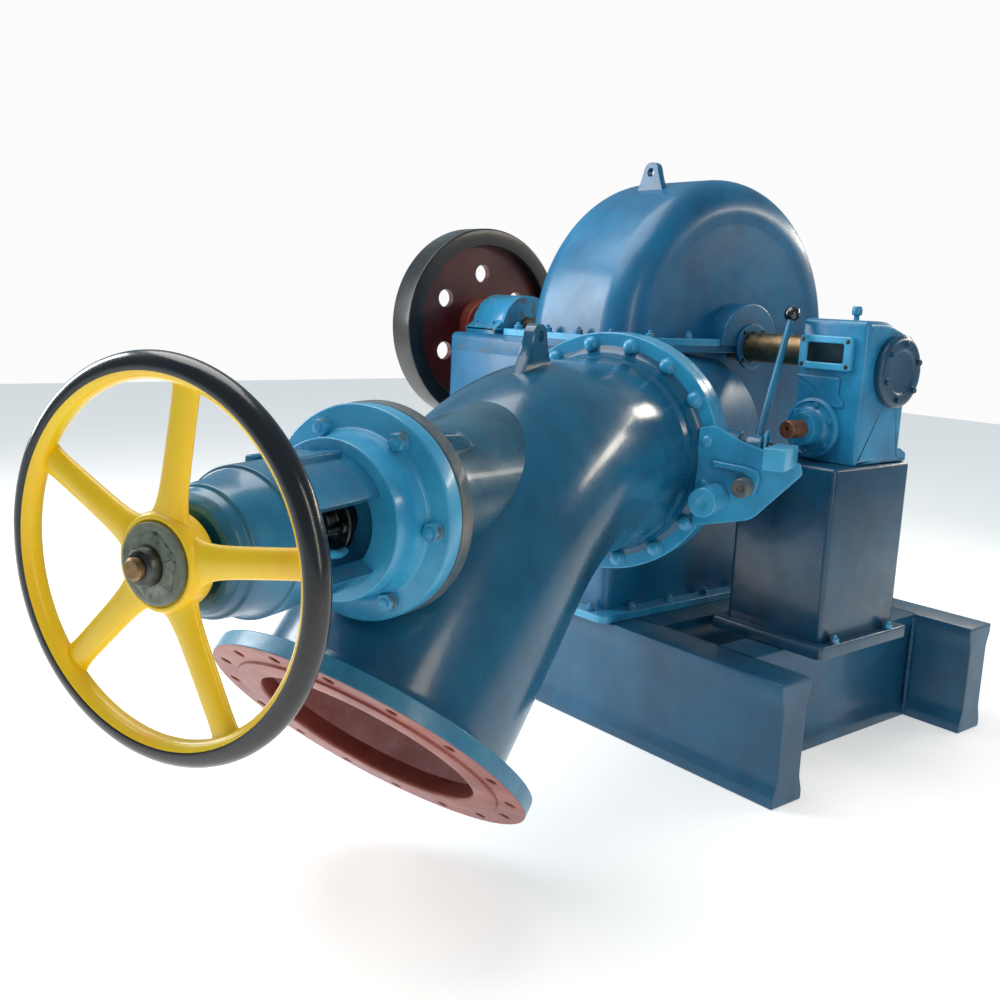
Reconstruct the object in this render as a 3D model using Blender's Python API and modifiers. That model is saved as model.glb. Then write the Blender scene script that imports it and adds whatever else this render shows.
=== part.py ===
"""Inclined-jet impulse water turbine with its inlet elbow, needle valve and flywheel.

The shaft lies along X at the shaft height. The jet is level, passes one pitch
radius below the shaft and is turned by the jet angle out of the wheel's plane.
Stations along it are measured from the point under the shaft and are negative
towards the handwheel.
"""
import math

import bmesh
import bpy
from mathutils import Matrix, Vector

# Main sizes, in metres
SHAFT_HEIGHT = 0.92
JET_ANGLE = math.radians(22)
JET_DROP = 0.231
GAP = 0.0003

# Casing, about the shaft centre
CASING_X = (-0.226, 0.124)
CASING_RADIUS = 0.403
CASING_FOOT = -0.65
WALL = 0.012
HOOD_ROUNDING = 0.07
FLANGE_REACH = 0.042
FLANGE_THICKNESS = 0.016
HOOD_LUG_Y = -0.15
SEAL_BOSS = (0.086, 0.05)
SEAL_CLEARANCE = 0.006

# Base frame
FRAME_X = (-0.86, 0.66)
FRAME_Y = 0.42
BEAM_WIDTH = 0.10
CROSS_BEAMS_X = (-0.74, -0.29, 0.19, 0.46)

# Nozzle and elbow, by stations along the jet
JOINT_AT = -0.52
OUTLET_FLANGE_RADIUS = 0.261
JOINT_FLANGE = 0.036
HOUSING_RADIUS = 0.215
OUTLET_RADIUS = 0.205
INLET_RADIUS = 0.223
PIPE_WALL = 0.014
CORNER_AT = -0.987
BEND_ANGLE = math.radians(47)
BEND_RADIUS = 0.40
ELBOW_TURN = math.radians(6.5)
INLET_LEG = 0.557
INLET_FLANGE_RADIUS = 0.290
INLET_FLANGE = 0.032
ELBOW_LUG_AT = -0.915
NOZZLE_TIP_AT = -0.17
NOZZLE_TIP_RADIUS = 0.05
NOZZLE_RADIUS = 0.15

# Bonnet, yoke and spindle
BONNET_FACE_AT = -1.468
BONNET_RADIUS = 0.164
BONNET_PLATE = 0.034
BRANCH_FLANGE = 0.030
NECK_RADIUS = 0.118
BOSS_RADIUS = 0.120
BOSS_END_AT = -1.535
YOKE_RADIUS = 0.102
YOKE_BORE = 0.076
YOKE_WINDOW = (-1.683, -1.537)
YOKE_STEP_AT = -1.722
YOKE_END_AT = -1.81
SPINDLE_RADIUS = 0.014
SPINDLE_END_AT = -1.90
NEEDLE_TIP_AT = -0.185

# Handwheel
WHEEL_AT = -1.855
WHEEL_RADIUS = 0.25
RIM_THICKNESS = 0.017
SPOKES = 5
HUB_RADIUS = 0.062

# Rotor
SHAFT_RADIUS = 0.036
RUNNER_X = (-0.12, -0.01)
RUNNER_RADIUS = 0.30
RUNNER_HUB = 0.092
BUCKETS = 22
FLYWHEEL_X = (-0.971, -0.879)
FLYWHEEL_RADIUS = 0.303

# Bearings
LEFT_BEARING_X = (-0.825, -0.676)
LEFT_STAND_X = (-0.793, -0.38)
LEFT_STAND_Y = 0.21
LEFT_STAND_TOP = -0.0155
LEFT_BEARING_SEAT = -0.05
RIGHT_HOUSING_X = (0.405, 0.575)
RIGHT_HOUSING_FRONT = -0.117
RIGHT_HOUSING_FOOT = -0.235
RIGHT_HOUSING_TOP = 0.078
END_COVER_Z = -0.03
WINDOW_AT = (0.481, 0.005)
ROUND_COVER_AT = (0.463, -0.163)
OIL_CUP_AT = (0.516, -0.075)
RIGHT_STAND_X = (0.33, 0.585)
RIGHT_STAND_Y = (-0.20, 0.09)

# Deflector lever, at stations across, along and above the jet
PIVOT = (0.0, -0.415, 0.027)
LEVER_HUB_ACROSS = (0.278, 0.312)
KNOB_AT = (0.315, -0.285, 0.316)
PIVOT_RADIUS = 0.0125

AXIS_TURN = {"X": Matrix.Rotation(math.pi / 2, 4, "Y"),
             "Y": Matrix.Rotation(-math.pi / 2, 4, "X"),
             "Z": Matrix.Identity(4)}

for old in list(bpy.data.objects):
    bpy.data.objects.remove(old, do_unlink=True)
parts = bpy.data.collections.new("inclined_jet_turbine")
cutters = bpy.data.collections.new("cutters")
bpy.context.scene.collection.children.link(parts)
bpy.context.scene.collection.children.link(cutters)


def empty(name, parent=None, place=(0, 0, 0), turn=(0, 0, 0)):
    """An axis or frame of reference that others hang on."""
    point = bpy.data.objects.new(name, None)
    point.empty_display_size = 0.1
    parts.objects.link(point)
    point.parent = parent
    point.location = place
    point.rotation_euler = turn
    return point


def finish(name, colour, roughness, metallic=0.0):
    """A Principled material."""
    look = bpy.data.materials.new(name)
    look.use_nodes = True
    shader = look.node_tree.nodes["Principled BSDF"]
    shader.inputs["Base Color"].default_value = (*colour, 1.0)
    shader.inputs["Roughness"].default_value = roughness
    shader.inputs["Metallic"].default_value = metallic
    return look


def cylinder(radius, depth, axis="Y", segments=48, end_radius=None):
    """A closed cylinder or cone about the origin, end_radius on the +axis end."""
    shape = bmesh.new()
    bmesh.ops.create_cone(shape, cap_ends=True, segments=segments, radius1=radius,
                          radius2=radius if end_radius is None else end_radius, depth=depth)
    bmesh.ops.transform(shape, matrix=AXIS_TURN[axis], verts=shape.verts)
    return shape


def block(size, place=(0, 0, 0)):
    """A closed box about a point."""
    shape = bmesh.new()
    bmesh.ops.create_cube(shape, size=1.0)
    bmesh.ops.scale(shape, vec=size, verts=shape.verts)
    bmesh.ops.translate(shape, vec=place, verts=shape.verts)
    return shape


def ball(radius, segments=16):
    """A closed sphere about the origin."""
    shape = bmesh.new()
    bmesh.ops.create_uvsphere(shape, u_segments=segments, v_segments=segments // 2, radius=radius)
    return shape


def span(low, high):
    """Middle and length of a range."""
    return (low + high) / 2, high - low


def hang(name, mesh, look, parent, place, turn, group):
    """Link a mesh as an object under its parent."""
    item = bpy.data.objects.new(name, mesh)
    group.objects.link(item)
    item.parent = parent
    item.location = place
    item.rotation_euler = turn
    if look:
        mesh.materials.append(look)
        mesh.shade_smooth()
        mesh.set_sharp_from_angle(angle=math.radians(30))
    return item


def piece(name, shape, look, parent, place=(0, 0, 0), turn=(0, 0, 0)):
    """One sub-part of the machine."""
    mesh = bpy.data.meshes.new(name)
    shape.to_mesh(mesh)
    shape.free()
    return hang(name, mesh, look, parent, place, turn, parts)


def tool(name, shape, parent, place=(0, 0, 0), turn=(0, 0, 0)):
    """A shape that only cuts or adds to another."""
    mesh = bpy.data.meshes.new(name)
    shape.to_mesh(mesh)
    shape.free()
    item = hang(name, mesh, None, parent, place, turn, cutters)
    item.hide_render = True
    item.display_type = "WIRE"
    return item


def boolean(item, other, operation):
    """Live Boolean with the exact solver."""
    change = item.modifiers.new(other.name, "BOOLEAN")
    change.operation = operation
    change.object = other
    change.solver = "EXACT"


def cut(item, *others):
    for other in others:
        boolean(item, other, "DIFFERENCE")


def fuse(item, *others):
    for other in others:
        boolean(item, other, "UNION")


def soften(item, width, segments=2, angle=40):
    """Rounded edges."""
    change = item.modifiers.new("Edges", "BEVEL")
    change.width = width
    change.segments = segments
    change.limit_method = "ANGLE"
    change.angle_limit = math.radians(angle)
    change.harden_normals = False


def turned_shape(profile, axis="Y", segments=48):
    """A closed profile of (radius, station) points spun about an axis.

    The outer side is listed from the far end to the near end. Points on the
    axis close the shape there.
    """
    mesh = bpy.data.meshes.new("profile")
    points = [(radius, 0.0, station) for radius, station in profile]
    closed = profile[0][0] > 0 and profile[-1][0] > 0
    count = len(points)
    edges = [(i, (i + 1) % count) for i in range(count if closed else count - 1)]
    mesh.from_pydata(points, edges, [])
    item = bpy.data.objects.new("profile", mesh)
    cutters.objects.link(item)
    spin = item.modifiers.new("Spin", "SCREW")
    spin.axis = "Z"
    spin.steps = segments
    spin.render_steps = segments
    spin.use_merge_vertices = True
    spin.merge_threshold = 0.00005
    shape = evaluated_shape(item)
    bmesh.ops.transform(shape, matrix=AXIS_TURN[axis], verts=shape.verts)
    return shape


def evaluated_shape(item):
    """The finished mesh of a temporary object, which is then removed."""
    graph = bpy.context.evaluated_depsgraph_get()
    graph.update()
    mesh = bpy.data.meshes.new_from_object(item.evaluated_get(graph))
    shape = bmesh.new()
    shape.from_mesh(mesh)
    bmesh.ops.remove_doubles(shape, verts=shape.verts, dist=0.00005)
    bmesh.ops.recalc_face_normals(shape, faces=shape.faces)
    bpy.data.objects.remove(item)
    bpy.data.meshes.remove(mesh)
    return shape


def plate_shape(outlines, thickness):
    """Flat outlines in X and Y, extruded evenly about Z = 0."""
    curve = bpy.data.curves.new("outline", "CURVE")
    curve.dimensions = "2D"
    curve.fill_mode = "BOTH"
    curve.extrude = thickness / 2
    for outline in outlines:
        spline = curve.splines.new("POLY")
        spline.points.add(len(outline) - 1)
        for point, (x, y) in zip(spline.points, outline):
            point.co = (x, y, 0.0, 1.0)
        spline.use_cyclic_u = True
    item = bpy.data.objects.new("outline", curve)
    cutters.objects.link(item)
    return evaluated_shape(item)


def tube_shape(points, radii, resolution=11):
    """A round bar along points, with a radius for each point."""
    curve = bpy.data.curves.new("route", "CURVE")
    curve.dimensions = "3D"
    curve.bevel_depth = 1.0
    curve.bevel_resolution = resolution
    curve.use_fill_caps = True
    spline = curve.splines.new("POLY")
    spline.points.add(len(points) - 1)
    for point, place, radius in zip(spline.points, points, radii):
        point.co = (*place, 1.0)
        point.radius = radius
    item = bpy.data.objects.new("route", curve)
    cutters.objects.link(item)
    return evaluated_shape(item)


def arc(centre, radius, start, end, count):
    """Points along an arc in a plane."""
    return [(centre[0] + radius * math.cos(start + (end - start) * i / count),
             centre[1] + radius * math.sin(start + (end - start) * i / count))
            for i in range(count + 1)]


def base_frame(machine, steel):
    """Two long beams joined by cross beams, under the casing and both stands."""
    top = CASING_FOOT
    floor = -SHAFT_HEIGHT
    middle, height = span(floor, top - GAP)
    centre_x, length = span(*FRAME_X)
    inner = FRAME_Y - BEAM_WIDTH
    for name, side in (("frame_beam_front", -1), ("frame_beam_back", 1)):
        place = (centre_x, side * (FRAME_Y - BEAM_WIDTH / 2), middle)
        beam = piece(name, block((length, BEAM_WIDTH, height)), steel, machine, place)
        soften(beam, 0.004, 1)
    for number, x in enumerate(CROSS_BEAMS_X, 1):
        beam = piece(f"frame_cross_beam_{number}", block((BEAM_WIDTH, 2 * (inner - GAP), height)),
                     steel, machine, (x, 0, middle))
        soften(beam, 0.004, 1)


def half_drum(radius, low_x, high_x, rounding):
    """Drum about X with rounded rims, to be cut at the shaft's level."""
    profile = [(0, high_x)]
    profile += [(radius - rounding + rounding * math.sin(a), high_x - rounding + rounding * math.cos(a))
                for a in (math.radians(22.5 * i) for i in range(5))]
    profile += [(radius - rounding + rounding * math.cos(a), low_x + rounding - rounding * math.sin(a))
                for a in (math.radians(22.5 * i) for i in range(5))]
    profile.append((0, low_x))
    return turned_shape(profile, "X", 48)


def casing_hood(machine, paint):
    """Hollow half drum over the wheel, with its flange and lifting lug."""
    low, high = CASING_X
    middle, width = span(low, high)
    hood = piece("casing_hood", half_drum(CASING_RADIUS, low, high, HOOD_ROUNDING), paint, machine)
    flange_z = FLANGE_THICKNESS / 2 + GAP / 2
    flange = tool("hood_flange", block((width + 2 * FLANGE_REACH, 2 * (CASING_RADIUS + FLANGE_REACH),
                                        FLANGE_THICKNESS)), machine, (middle, 0, flange_z))
    soften(flange, 0.03, 1, 80)
    lug_foot = CASING_RADIUS * 0.85
    lug = tool("hood_lug", plate_shape([[(-0.055, -0.03), (0.055, -0.03), (0.022, 0.072)]
                                        + arc((0, 0.072), 0.022, 0, math.pi, 8)], 0.016),
               machine, (middle, HOOD_LUG_Y, lug_foot), (math.pi / 2, 0, 0))
    lug_hole = tool("hood_lug_hole", cylinder(0.011, 0.05, "Y", 20), machine,
                    (middle, HOOD_LUG_Y, lug_foot + 0.07))
    below = tool("hood_below", block((2, 2, 1)), machine, (0, 0, GAP / 2 - 0.5))
    inside = tool("hood_inside", half_drum(CASING_RADIUS - WALL, low + WALL, high - WALL,
                                           HOOD_ROUNDING - WALL), machine)
    bore = tool("hood_shaft_bore", cylinder(SHAFT_RADIUS + SEAL_CLEARANCE, 1.0, "X", 32), machine, (middle, 0, 0))
    fuse(hood, lug, flange, seal_boss(machine, "hood_seal_boss"))
    cut(hood, below, inside, bore, lug_hole)


def casing_lower(machine, jet, paint):
    """Box below the shaft with the round nozzle housing, open at the bottom."""
    low, high = CASING_X
    middle, width = span(low, high)
    centre_z, height = span(CASING_FOOT, -GAP / 2)
    casing = piece("casing_lower", block((width, 2 * CASING_RADIUS, height)), paint, machine,
                   (middle, 0, centre_z))
    soften(casing, 0.02, 2)
    flange_size = (width + 2 * FLANGE_REACH, 2 * (CASING_RADIUS + FLANGE_REACH), FLANGE_THICKNESS)
    flanges = []
    for name, z in (("lower_flange", -GAP / 2 - FLANGE_THICKNESS / 2),
                    ("foot_flange", CASING_FOOT + FLANGE_THICKNESS / 2)):
        flange = tool(name, block(flange_size), machine, (middle, 0, z))
        soften(flange, 0.03, 1, 80)
        flanges.append(flange)
    start = JOINT_AT + GAP
    housing = tool("nozzle_housing", turned_shape([
        (0, 0.02), (HOUSING_RADIUS, 0.02), (HOUSING_RADIUS, start + JOINT_FLANGE),
        (OUTLET_FLANGE_RADIUS, start + JOINT_FLANGE), (OUTLET_FLANGE_RADIUS, start), (0, start)]), jet)
    boss = tool("pivot_boss", cylinder(0.032, 0.1, "X", 32), jet, (0.215, PIVOT[1], PIVOT[2]))
    room_z, room_height = span(CASING_FOOT - 0.1, 0.1)
    room = tool("casing_room", block((width - 2 * WALL, 2 * (CASING_RADIUS - WALL), room_height)),
                machine, (middle, 0, room_z))
    throat_radius = HOUSING_RADIUS - WALL
    throat = tool("nozzle_throat", cylinder(throat_radius, 0.62, "Y", 48), jet, (0, JOINT_AT + 0.21, 0))
    clear = tool("runner_room", cylinder(CASING_RADIUS - WALL, width - 2 * WALL, "X", 48), machine,
                 (middle, 0, 0))
    bore = tool("lower_shaft_bore", cylinder(SHAFT_RADIUS + SEAL_CLEARANCE, 1.0, "X", 32), machine, (middle, 0, 0))
    pivot_bore = tool("pivot_bore", cylinder(PIVOT_RADIUS + 0.0005, 0.3, "X", 24), jet,
                      (0.25, PIVOT[1], PIVOT[2]))
    above = tool("casing_above", block((2, 2, 1)), machine, (0, 0, 0.5 - GAP / 2))
    fuse(casing, *flanges, housing, boss, seal_boss(machine, "lower_seal_boss"))
    cut(casing, above, room, throat, clear, bore, pivot_bore)


def nozzle(jet, steel):
    """Converging nozzle that hangs in the housing on its ring."""
    start = JOINT_AT + GAP
    wall = 0.01
    tip = (NOZZLE_TIP_RADIUS, NOZZLE_TIP_AT)
    profile = [(tip[0] - wall * 1.2, tip[1]), tip, (0.105, JOINT_AT + 0.1), (NOZZLE_RADIUS, start + 0.014),
               (HOUSING_RADIUS - WALL - GAP, start + 0.014), (HOUSING_RADIUS - WALL - GAP, start),
               (NOZZLE_RADIUS - wall, start), (0.095, JOINT_AT + 0.1)]
    piece("nozzle", turned_shape(profile, "Y", 48), steel, jet)


def elbow_route(extra=0.0):
    """Centre line from the joint round the bend to the inlet, with its radii."""
    tangent = BEND_RADIUS * math.tan(BEND_ANGLE / 2)
    leg = (-math.cos(BEND_ANGLE), -math.sin(BEND_ANGLE))
    centre = (CORNER_AT + tangent, -BEND_RADIUS)
    steps = 9
    route = [(JOINT_AT + extra, 0.0)]
    route += arc(centre, BEND_RADIUS, math.pi / 2, math.pi / 2 + BEND_ANGLE, steps)
    route.append((CORNER_AT + leg[0] * (INLET_LEG + extra), leg[1] * (INLET_LEG + extra)))
    lengths = [0.0]
    for before, after in zip(route, route[1:]):
        lengths.append(lengths[-1] + math.dist(before, after))
    share = [length / lengths[-1] for length in lengths]
    radii = [OUTLET_RADIUS + (INLET_RADIUS - OUTLET_RADIUS) * t * t * (3 - 2 * t) for t in share]
    return [(0.0, y, z) for y, z in route], radii


def elbow(jet, paint):
    """Cast bend with inlet, outlet and branch flanges and a lifting lug."""
    bend = empty("elbow_turn", jet, turn=(0, ELBOW_TURN, 0))
    route, radii = elbow_route(-0.002)
    body = piece("elbow", tube_shape(route, radii), paint, bend)
    outlet = tool("outlet_flange", cylinder(OUTLET_FLANGE_RADIUS, JOINT_FLANGE), bend,
                  (0, JOINT_AT - JOINT_FLANGE / 2, 0))
    leg = Vector((0, -math.cos(BEND_ANGLE), -math.sin(BEND_ANGLE)))
    inlet_centre = Vector((0, CORNER_AT, 0)) + leg * (INLET_LEG - INLET_FLANGE / 2)
    inlet = tool("inlet_flange", cylinder(INLET_FLANGE_RADIUS, INLET_FLANGE), bend, inlet_centre,
                 (BEND_ANGLE, 0, 0))
    branch_face = BONNET_FACE_AT + BONNET_PLATE + GAP
    neck = tool("branch_neck", turned_shape([
        (0, CORNER_AT + 0.1), (NECK_RADIUS + 0.02, CORNER_AT + 0.1), (NECK_RADIUS, branch_face + 0.08),
        (NECK_RADIUS, branch_face + BRANCH_FLANGE), (BONNET_RADIUS, branch_face + BRANCH_FLANGE),
        (BONNET_RADIUS, branch_face), (0, branch_face)], "Y", 40), bend)
    lug = tool("elbow_lug", plate_shape([[(-0.075, -0.05), (0.075, -0.05), (0.024, 0.05)]
                                         + arc((0, 0.05), 0.024, 0, math.pi, 8)], 0.02),
               jet, (0, ELBOW_LUG_AT, 0.205), (math.pi / 2, 0, math.pi / 2))
    lug_hole = tool("elbow_lug_hole", cylinder(0.012, 0.05, "X", 20), jet, (0, ELBOW_LUG_AT, 0.252))
    route, radii = elbow_route(0.05)
    inside = tool("elbow_inside", tube_shape(route, [r - PIPE_WALL for r in radii]), bend)
    branch_bore = tool("branch_bore", cylinder(0.08, 0.5, "Y", 32), bend, (0, branch_face + 0.2, 0))
    spot_face = tool("branch_spot_face", cylinder(BONNET_RADIUS + 0.004, 0.1, "Y", 40), bend,
                     (0, branch_face - 0.05, 0))
    fuse(body, outlet, inlet, neck, lug)
    cut(body, spot_face, inside, branch_bore, lug_hole)


def yoke(jet, paint, steel):
    """Bonnet plate with the windowed yoke that carries the spindle's nut."""
    back = BONNET_FACE_AT + BONNET_PLATE
    body = piece("yoke", turned_shape([
        (0, back), (BONNET_RADIUS, back), (BONNET_RADIUS, BONNET_FACE_AT),
        (BOSS_RADIUS + 0.008, BONNET_FACE_AT), (BOSS_RADIUS, BONNET_FACE_AT - 0.02),
        (BOSS_RADIUS, BOSS_END_AT), (YOKE_RADIUS, BOSS_END_AT), (YOKE_RADIUS, YOKE_STEP_AT),
        (0.096, YOKE_STEP_AT - 0.009), (0.089, YOKE_STEP_AT - 0.028), (0.085, YOKE_END_AT + 0.025),
        (0.077, YOKE_END_AT + 0.01), (0.067, YOKE_END_AT), (0, YOKE_END_AT)], "Y", 40), paint, jet)
    middle, length = span(YOKE_WINDOW[0], YOKE_WINDOW[1])
    room = tool("yoke_room", cylinder(YOKE_BORE, length, "Y", 32), jet, (0, middle, 0))
    window = tool("yoke_window", block((0.3, length, 0.088)), jet, (0, middle, 0))
    bore = tool("spindle_bore", cylinder(SPINDLE_RADIUS + 0.001, 0.6, "Y", 24), jet, (0, back - 0.2, 0))
    box = tool("packing_room", cylinder(0.03, 0.06, "Y", 24), jet, (0, YOKE_WINDOW[1] + 0.02, 0))
    nose = tool("nose_bore", cylinder(0.0306, 0.12, "Y", 32), jet, (0, YOKE_END_AT - 0.06 + 0.044, 0))
    cut(body, room, window, box, bore, nose)
    gland = turned_shape([
        (SPINDLE_RADIUS + 0.001, YOKE_WINDOW[1] + 0.03), (0.03 - GAP, YOKE_WINDOW[1] + 0.03),
        (0.03 - GAP, YOKE_WINDOW[1] - GAP - 0.002), (0.052, YOKE_WINDOW[1] - GAP - 0.002),
        (0.052, YOKE_WINDOW[1] - 0.016), (SPINDLE_RADIUS + 0.001, YOKE_WINDOW[1] - 0.016)], "Y", 32)
    piece("gland", gland, steel, jet)


def spindle(slide, steel):
    """Needle and its rod, threaded through the handwheel."""
    tip = NEEDLE_TIP_AT - WHEEL_AT
    tail = SPINDLE_END_AT - WHEEL_AT
    piece("needle_rod", turned_shape([
        (0, tip), (0.03, tip - 0.06), (0.046, tip - 0.12), (0.046, tip - 0.16), (SPINDLE_RADIUS, tip - 0.26),
        (SPINDLE_RADIUS, tail + 0.003), (SPINDLE_RADIUS - 0.003, tail), (0, tail)], "Y", 32), steel, slide)


def handwheel(wheel, rim_paint, spoke_paint, plate_paint, steel):
    """Rim, five-spoked spider with its hub, retaining plate and nut."""
    ring_radius = WHEEL_RADIUS - RIM_THICKNESS
    section = [(ring_radius + RIM_THICKNESS * math.cos(a), RIM_THICKNESS * math.sin(a))
               for a in (math.pi / 2 - 2 * math.pi * i / 12 for i in range(12))]
    piece("handwheel_rim", turned_shape(section, "Y", 50), rim_paint, wheel)
    sleeve_radius = 0.03
    back, front = 0.036, -0.006
    hub_bore = sleeve_radius + GAP
    spider = piece("handwheel_spider", turned_shape([
        (hub_bore, back), (HUB_RADIUS - 0.01, back), (HUB_RADIUS, back - 0.01), (HUB_RADIUS, front + 0.006),
        (HUB_RADIUS - 0.006, front), (hub_bore, front)], "Y", 40), spoke_paint, wheel)
    grown = [(ring_radius + (RIM_THICKNESS + GAP) * math.cos(a), (RIM_THICKNESS + GAP) * math.sin(a))
             for a in (math.pi / 2 - 2 * math.pi * i / 12 for i in range(12))]
    spokes = []
    for number in range(SPOKES):
        angle = 2 * math.pi * number / SPOKES + math.pi / 2
        start, end = HUB_RADIUS - 0.015, ring_radius
        spoke = cylinder(0.022, end - start, "X", 20, 0.0185)
        bmesh.ops.scale(spoke, vec=(1, 0.62, 1), verts=spoke.verts)
        bmesh.ops.translate(spoke, vec=((start + end) / 2, 0.008, 0), verts=spoke.verts)
        spokes.append(tool(f"spoke_{number + 1}", spoke, wheel, turn=(0, -angle, 0)))
    fuse(spider, *spokes)
    cut(spider, tool("rim_room", turned_shape(grown, "Y", 50), wheel))
    nose = YOKE_END_AT - WHEEL_AT
    piece("stem_nut", turned_shape([
        (SPINDLE_RADIUS + 0.0005, nose + 0.04), (sleeve_radius, nose + 0.04), (sleeve_radius, nose - GAP - 0.002),
        (0.042, nose - GAP - 0.002), (0.042, back + GAP), (sleeve_radius, back + GAP), (sleeve_radius, front),
        (SPINDLE_RADIUS + 0.0005, front)], "Y", 32), steel, wheel)
    piece("hub_plate", turned_shape([
        (SPINDLE_RADIUS + 0.0005, front - GAP), (0.0505, front - GAP), (0.0505, front - 0.008),
        (SPINDLE_RADIUS + 0.0005, front - 0.008)], "Y", 36), plate_paint, wheel)
    hexagon = [(0.026 * math.cos(math.pi * i / 3), 0.026 * math.sin(math.pi * i / 3)) for i in range(6)]
    nut = piece("spindle_nut", plate_shape([hexagon], 0.018), steel, wheel,
                (0, front - 0.008 - GAP - 0.009, 0), (math.pi / 2, 0, 0))
    cut(nut, tool("nut_bore", cylinder(SPINDLE_RADIUS + 0.0005, 0.1, "Y", 24), wheel, (0, front, 0)))


def bucket_outline(turn):
    """One curved bucket wall between hub and rim, as seen along the shaft."""
    inner, outer = RUNNER_HUB - 0.006, RUNNER_RADIUS - 0.008
    steps = 6
    sides = ([], [])
    for i in range(steps + 1):
        t = i / steps
        radius = inner + (outer - inner) * t
        lean = turn + 0.30 * math.sin(math.pi * t) - 0.42 * t * t
        half = (0.0035 + 0.0025 * math.sin(math.pi * t)) / radius
        sides[0].append((radius * math.cos(lean - half), radius * math.sin(lean - half)))
        sides[1].append((radius * math.cos(lean + half), radius * math.sin(lean + half)))
    return sides[0] + sides[1][::-1]


def runner(rotor, bronze):
    """Hub, curved buckets and the thin outer band, cast in one."""
    low, high = RUNNER_X
    middle, width = span(low, high)
    hub = piece("runner", turned_shape([
        (SHAFT_RADIUS + GAP, high + 0.012), (RUNNER_HUB - 0.015, high + 0.012), (RUNNER_HUB, high - 0.01),
        (RUNNER_HUB, low + 0.01), (RUNNER_HUB - 0.02, low), (SHAFT_RADIUS + GAP, low)], "X", 48),
        bronze, rotor)
    band = tool("runner_band", turned_shape([
        (RUNNER_RADIUS - 0.012, middle + 0.02), (RUNNER_RADIUS, middle + 0.02),
        (RUNNER_RADIUS, middle - 0.035), (RUNNER_RADIUS - 0.012, middle - 0.035)], "X", 44), rotor)
    outlines = [bucket_outline(2 * math.pi * i / BUCKETS) for i in range(BUCKETS)]
    buckets = tool("runner_buckets", plate_shape(outlines, width * 0.86), rotor,
                   (middle, 0, 0), (0, math.pi / 2, 0))
    fuse(hub, band, buckets)


def shaft_and_flywheel(rotor, steel, iron):
    """Stepped shaft through both bearings, with the flywheel on its far end."""
    tail = FLYWHEEL_X[0] - 0.02
    head = RIGHT_HOUSING_X[1] - 0.02
    piece("shaft", turned_shape([(0, head), (SHAFT_RADIUS - 0.003, head), (SHAFT_RADIUS, head - 0.003),
                                 (SHAFT_RADIUS, tail + 0.003), (SHAFT_RADIUS - 0.003, tail), (0, tail)],
                                "X", 48), steel, rotor)
    low, high = FLYWHEEL_X
    rim = FLYWHEEL_RADIUS
    inner = rim - 0.045
    middle = (low + high) / 2
    wheel = piece("flywheel", turned_shape([
        (SHAFT_RADIUS + GAP, high), (0.075, high), (0.08, high - 0.005), (0.085, middle + 0.011),
        (inner, middle + 0.011), (inner + 0.004, high - 0.004), (inner + 0.008, high), (rim - 0.005, high),
        (rim, high - 0.005), (rim, low + 0.005), (rim - 0.005, low), (inner + 0.008, low),
        (inner, middle - 0.011), (0.085, middle - 0.011), (0.075, low), (SHAFT_RADIUS + GAP, low)],
        "X", 48), iron, rotor)
    for i in range(6):
        angle = 2 * math.pi * (i + 0.5) / 6
        hole = tool(f"flywheel_hole_{i + 1}", cylinder(0.028, 0.1, "X", 14), rotor,
                    (middle, 0.163 * math.cos(angle), 0.163 * math.sin(angle)))
        cut(wheel, hole)


def seal_boss(machine, name):
    """Round bosses about the shaft on both sides of the casing."""
    low, high = CASING_X
    middle, width = span(low - SEAL_BOSS[1], high + SEAL_BOSS[1])
    return tool(name, cylinder(SEAL_BOSS[0], width, "X", 40), machine, (middle, 0, 0))


def shaft_seals(machine, steel):
    """Collared rings that close the bosses round the shaft."""
    low, high = CASING_X
    bore = SHAFT_RADIUS + 0.001
    seat = SHAFT_RADIUS + SEAL_CLEARANCE - GAP
    for name, face, side in (("seal_ring_left", low - SEAL_BOSS[1], -1),
                             ("seal_ring_right", high + SEAL_BOSS[1], 1)):
        profile = [(bore, face - side * 0.02), (seat, face - side * 0.02), (seat, face + side * GAP),
                   (0.056, face + side * GAP), (0.056, face + side * 0.009), (bore, face + side * 0.009)]
        piece(name, turned_shape(profile if side < 0 else profile[::-1], "X", 40), steel, machine)


def left_bearing(machine, paint, cap_paint):
    """Stand beside the casing and the split bearing on it."""
    low, high = LEFT_STAND_X
    foot = CASING_FOOT
    x, width = span(low, high)
    z, height = span(foot + GAP, LEFT_STAND_TOP)
    stand = piece("left_stand", block((width, 2 * LEFT_STAND_Y, height)), paint, machine, (x, 0, z))
    soften(stand, 0.018, 3)
    seat = tool("left_bearing_seat", block((1, 0.26 + 2 * GAP, 0.2)), machine, (x, 0, LEFT_BEARING_SEAT + 0.1))
    cut(stand, seat)
    low, high = LEFT_BEARING_X
    x, width = span(low, high)
    z, height = span(LEFT_BEARING_SEAT + GAP, 0)
    housing = piece("left_bearing", block((width, 0.26, height)), cap_paint, machine, (x, 0, z))
    soften(housing, 0.006)
    crown = tool("left_bearing_crown", cylinder(0.1, width, "X", 40), machine, (x, 0, 0))
    below = tool("left_bearing_below", block((0.4, 0.4, 0.2)), machine,
                 (x, 0, LEFT_BEARING_SEAT + GAP - 0.1))
    bore = tool("left_bearing_bore", cylinder(SHAFT_RADIUS + 0.0005, 0.4, "X", 48), machine, (x, 0, 0))
    fuse(housing, crown)
    cut(housing, below, bore)


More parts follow.
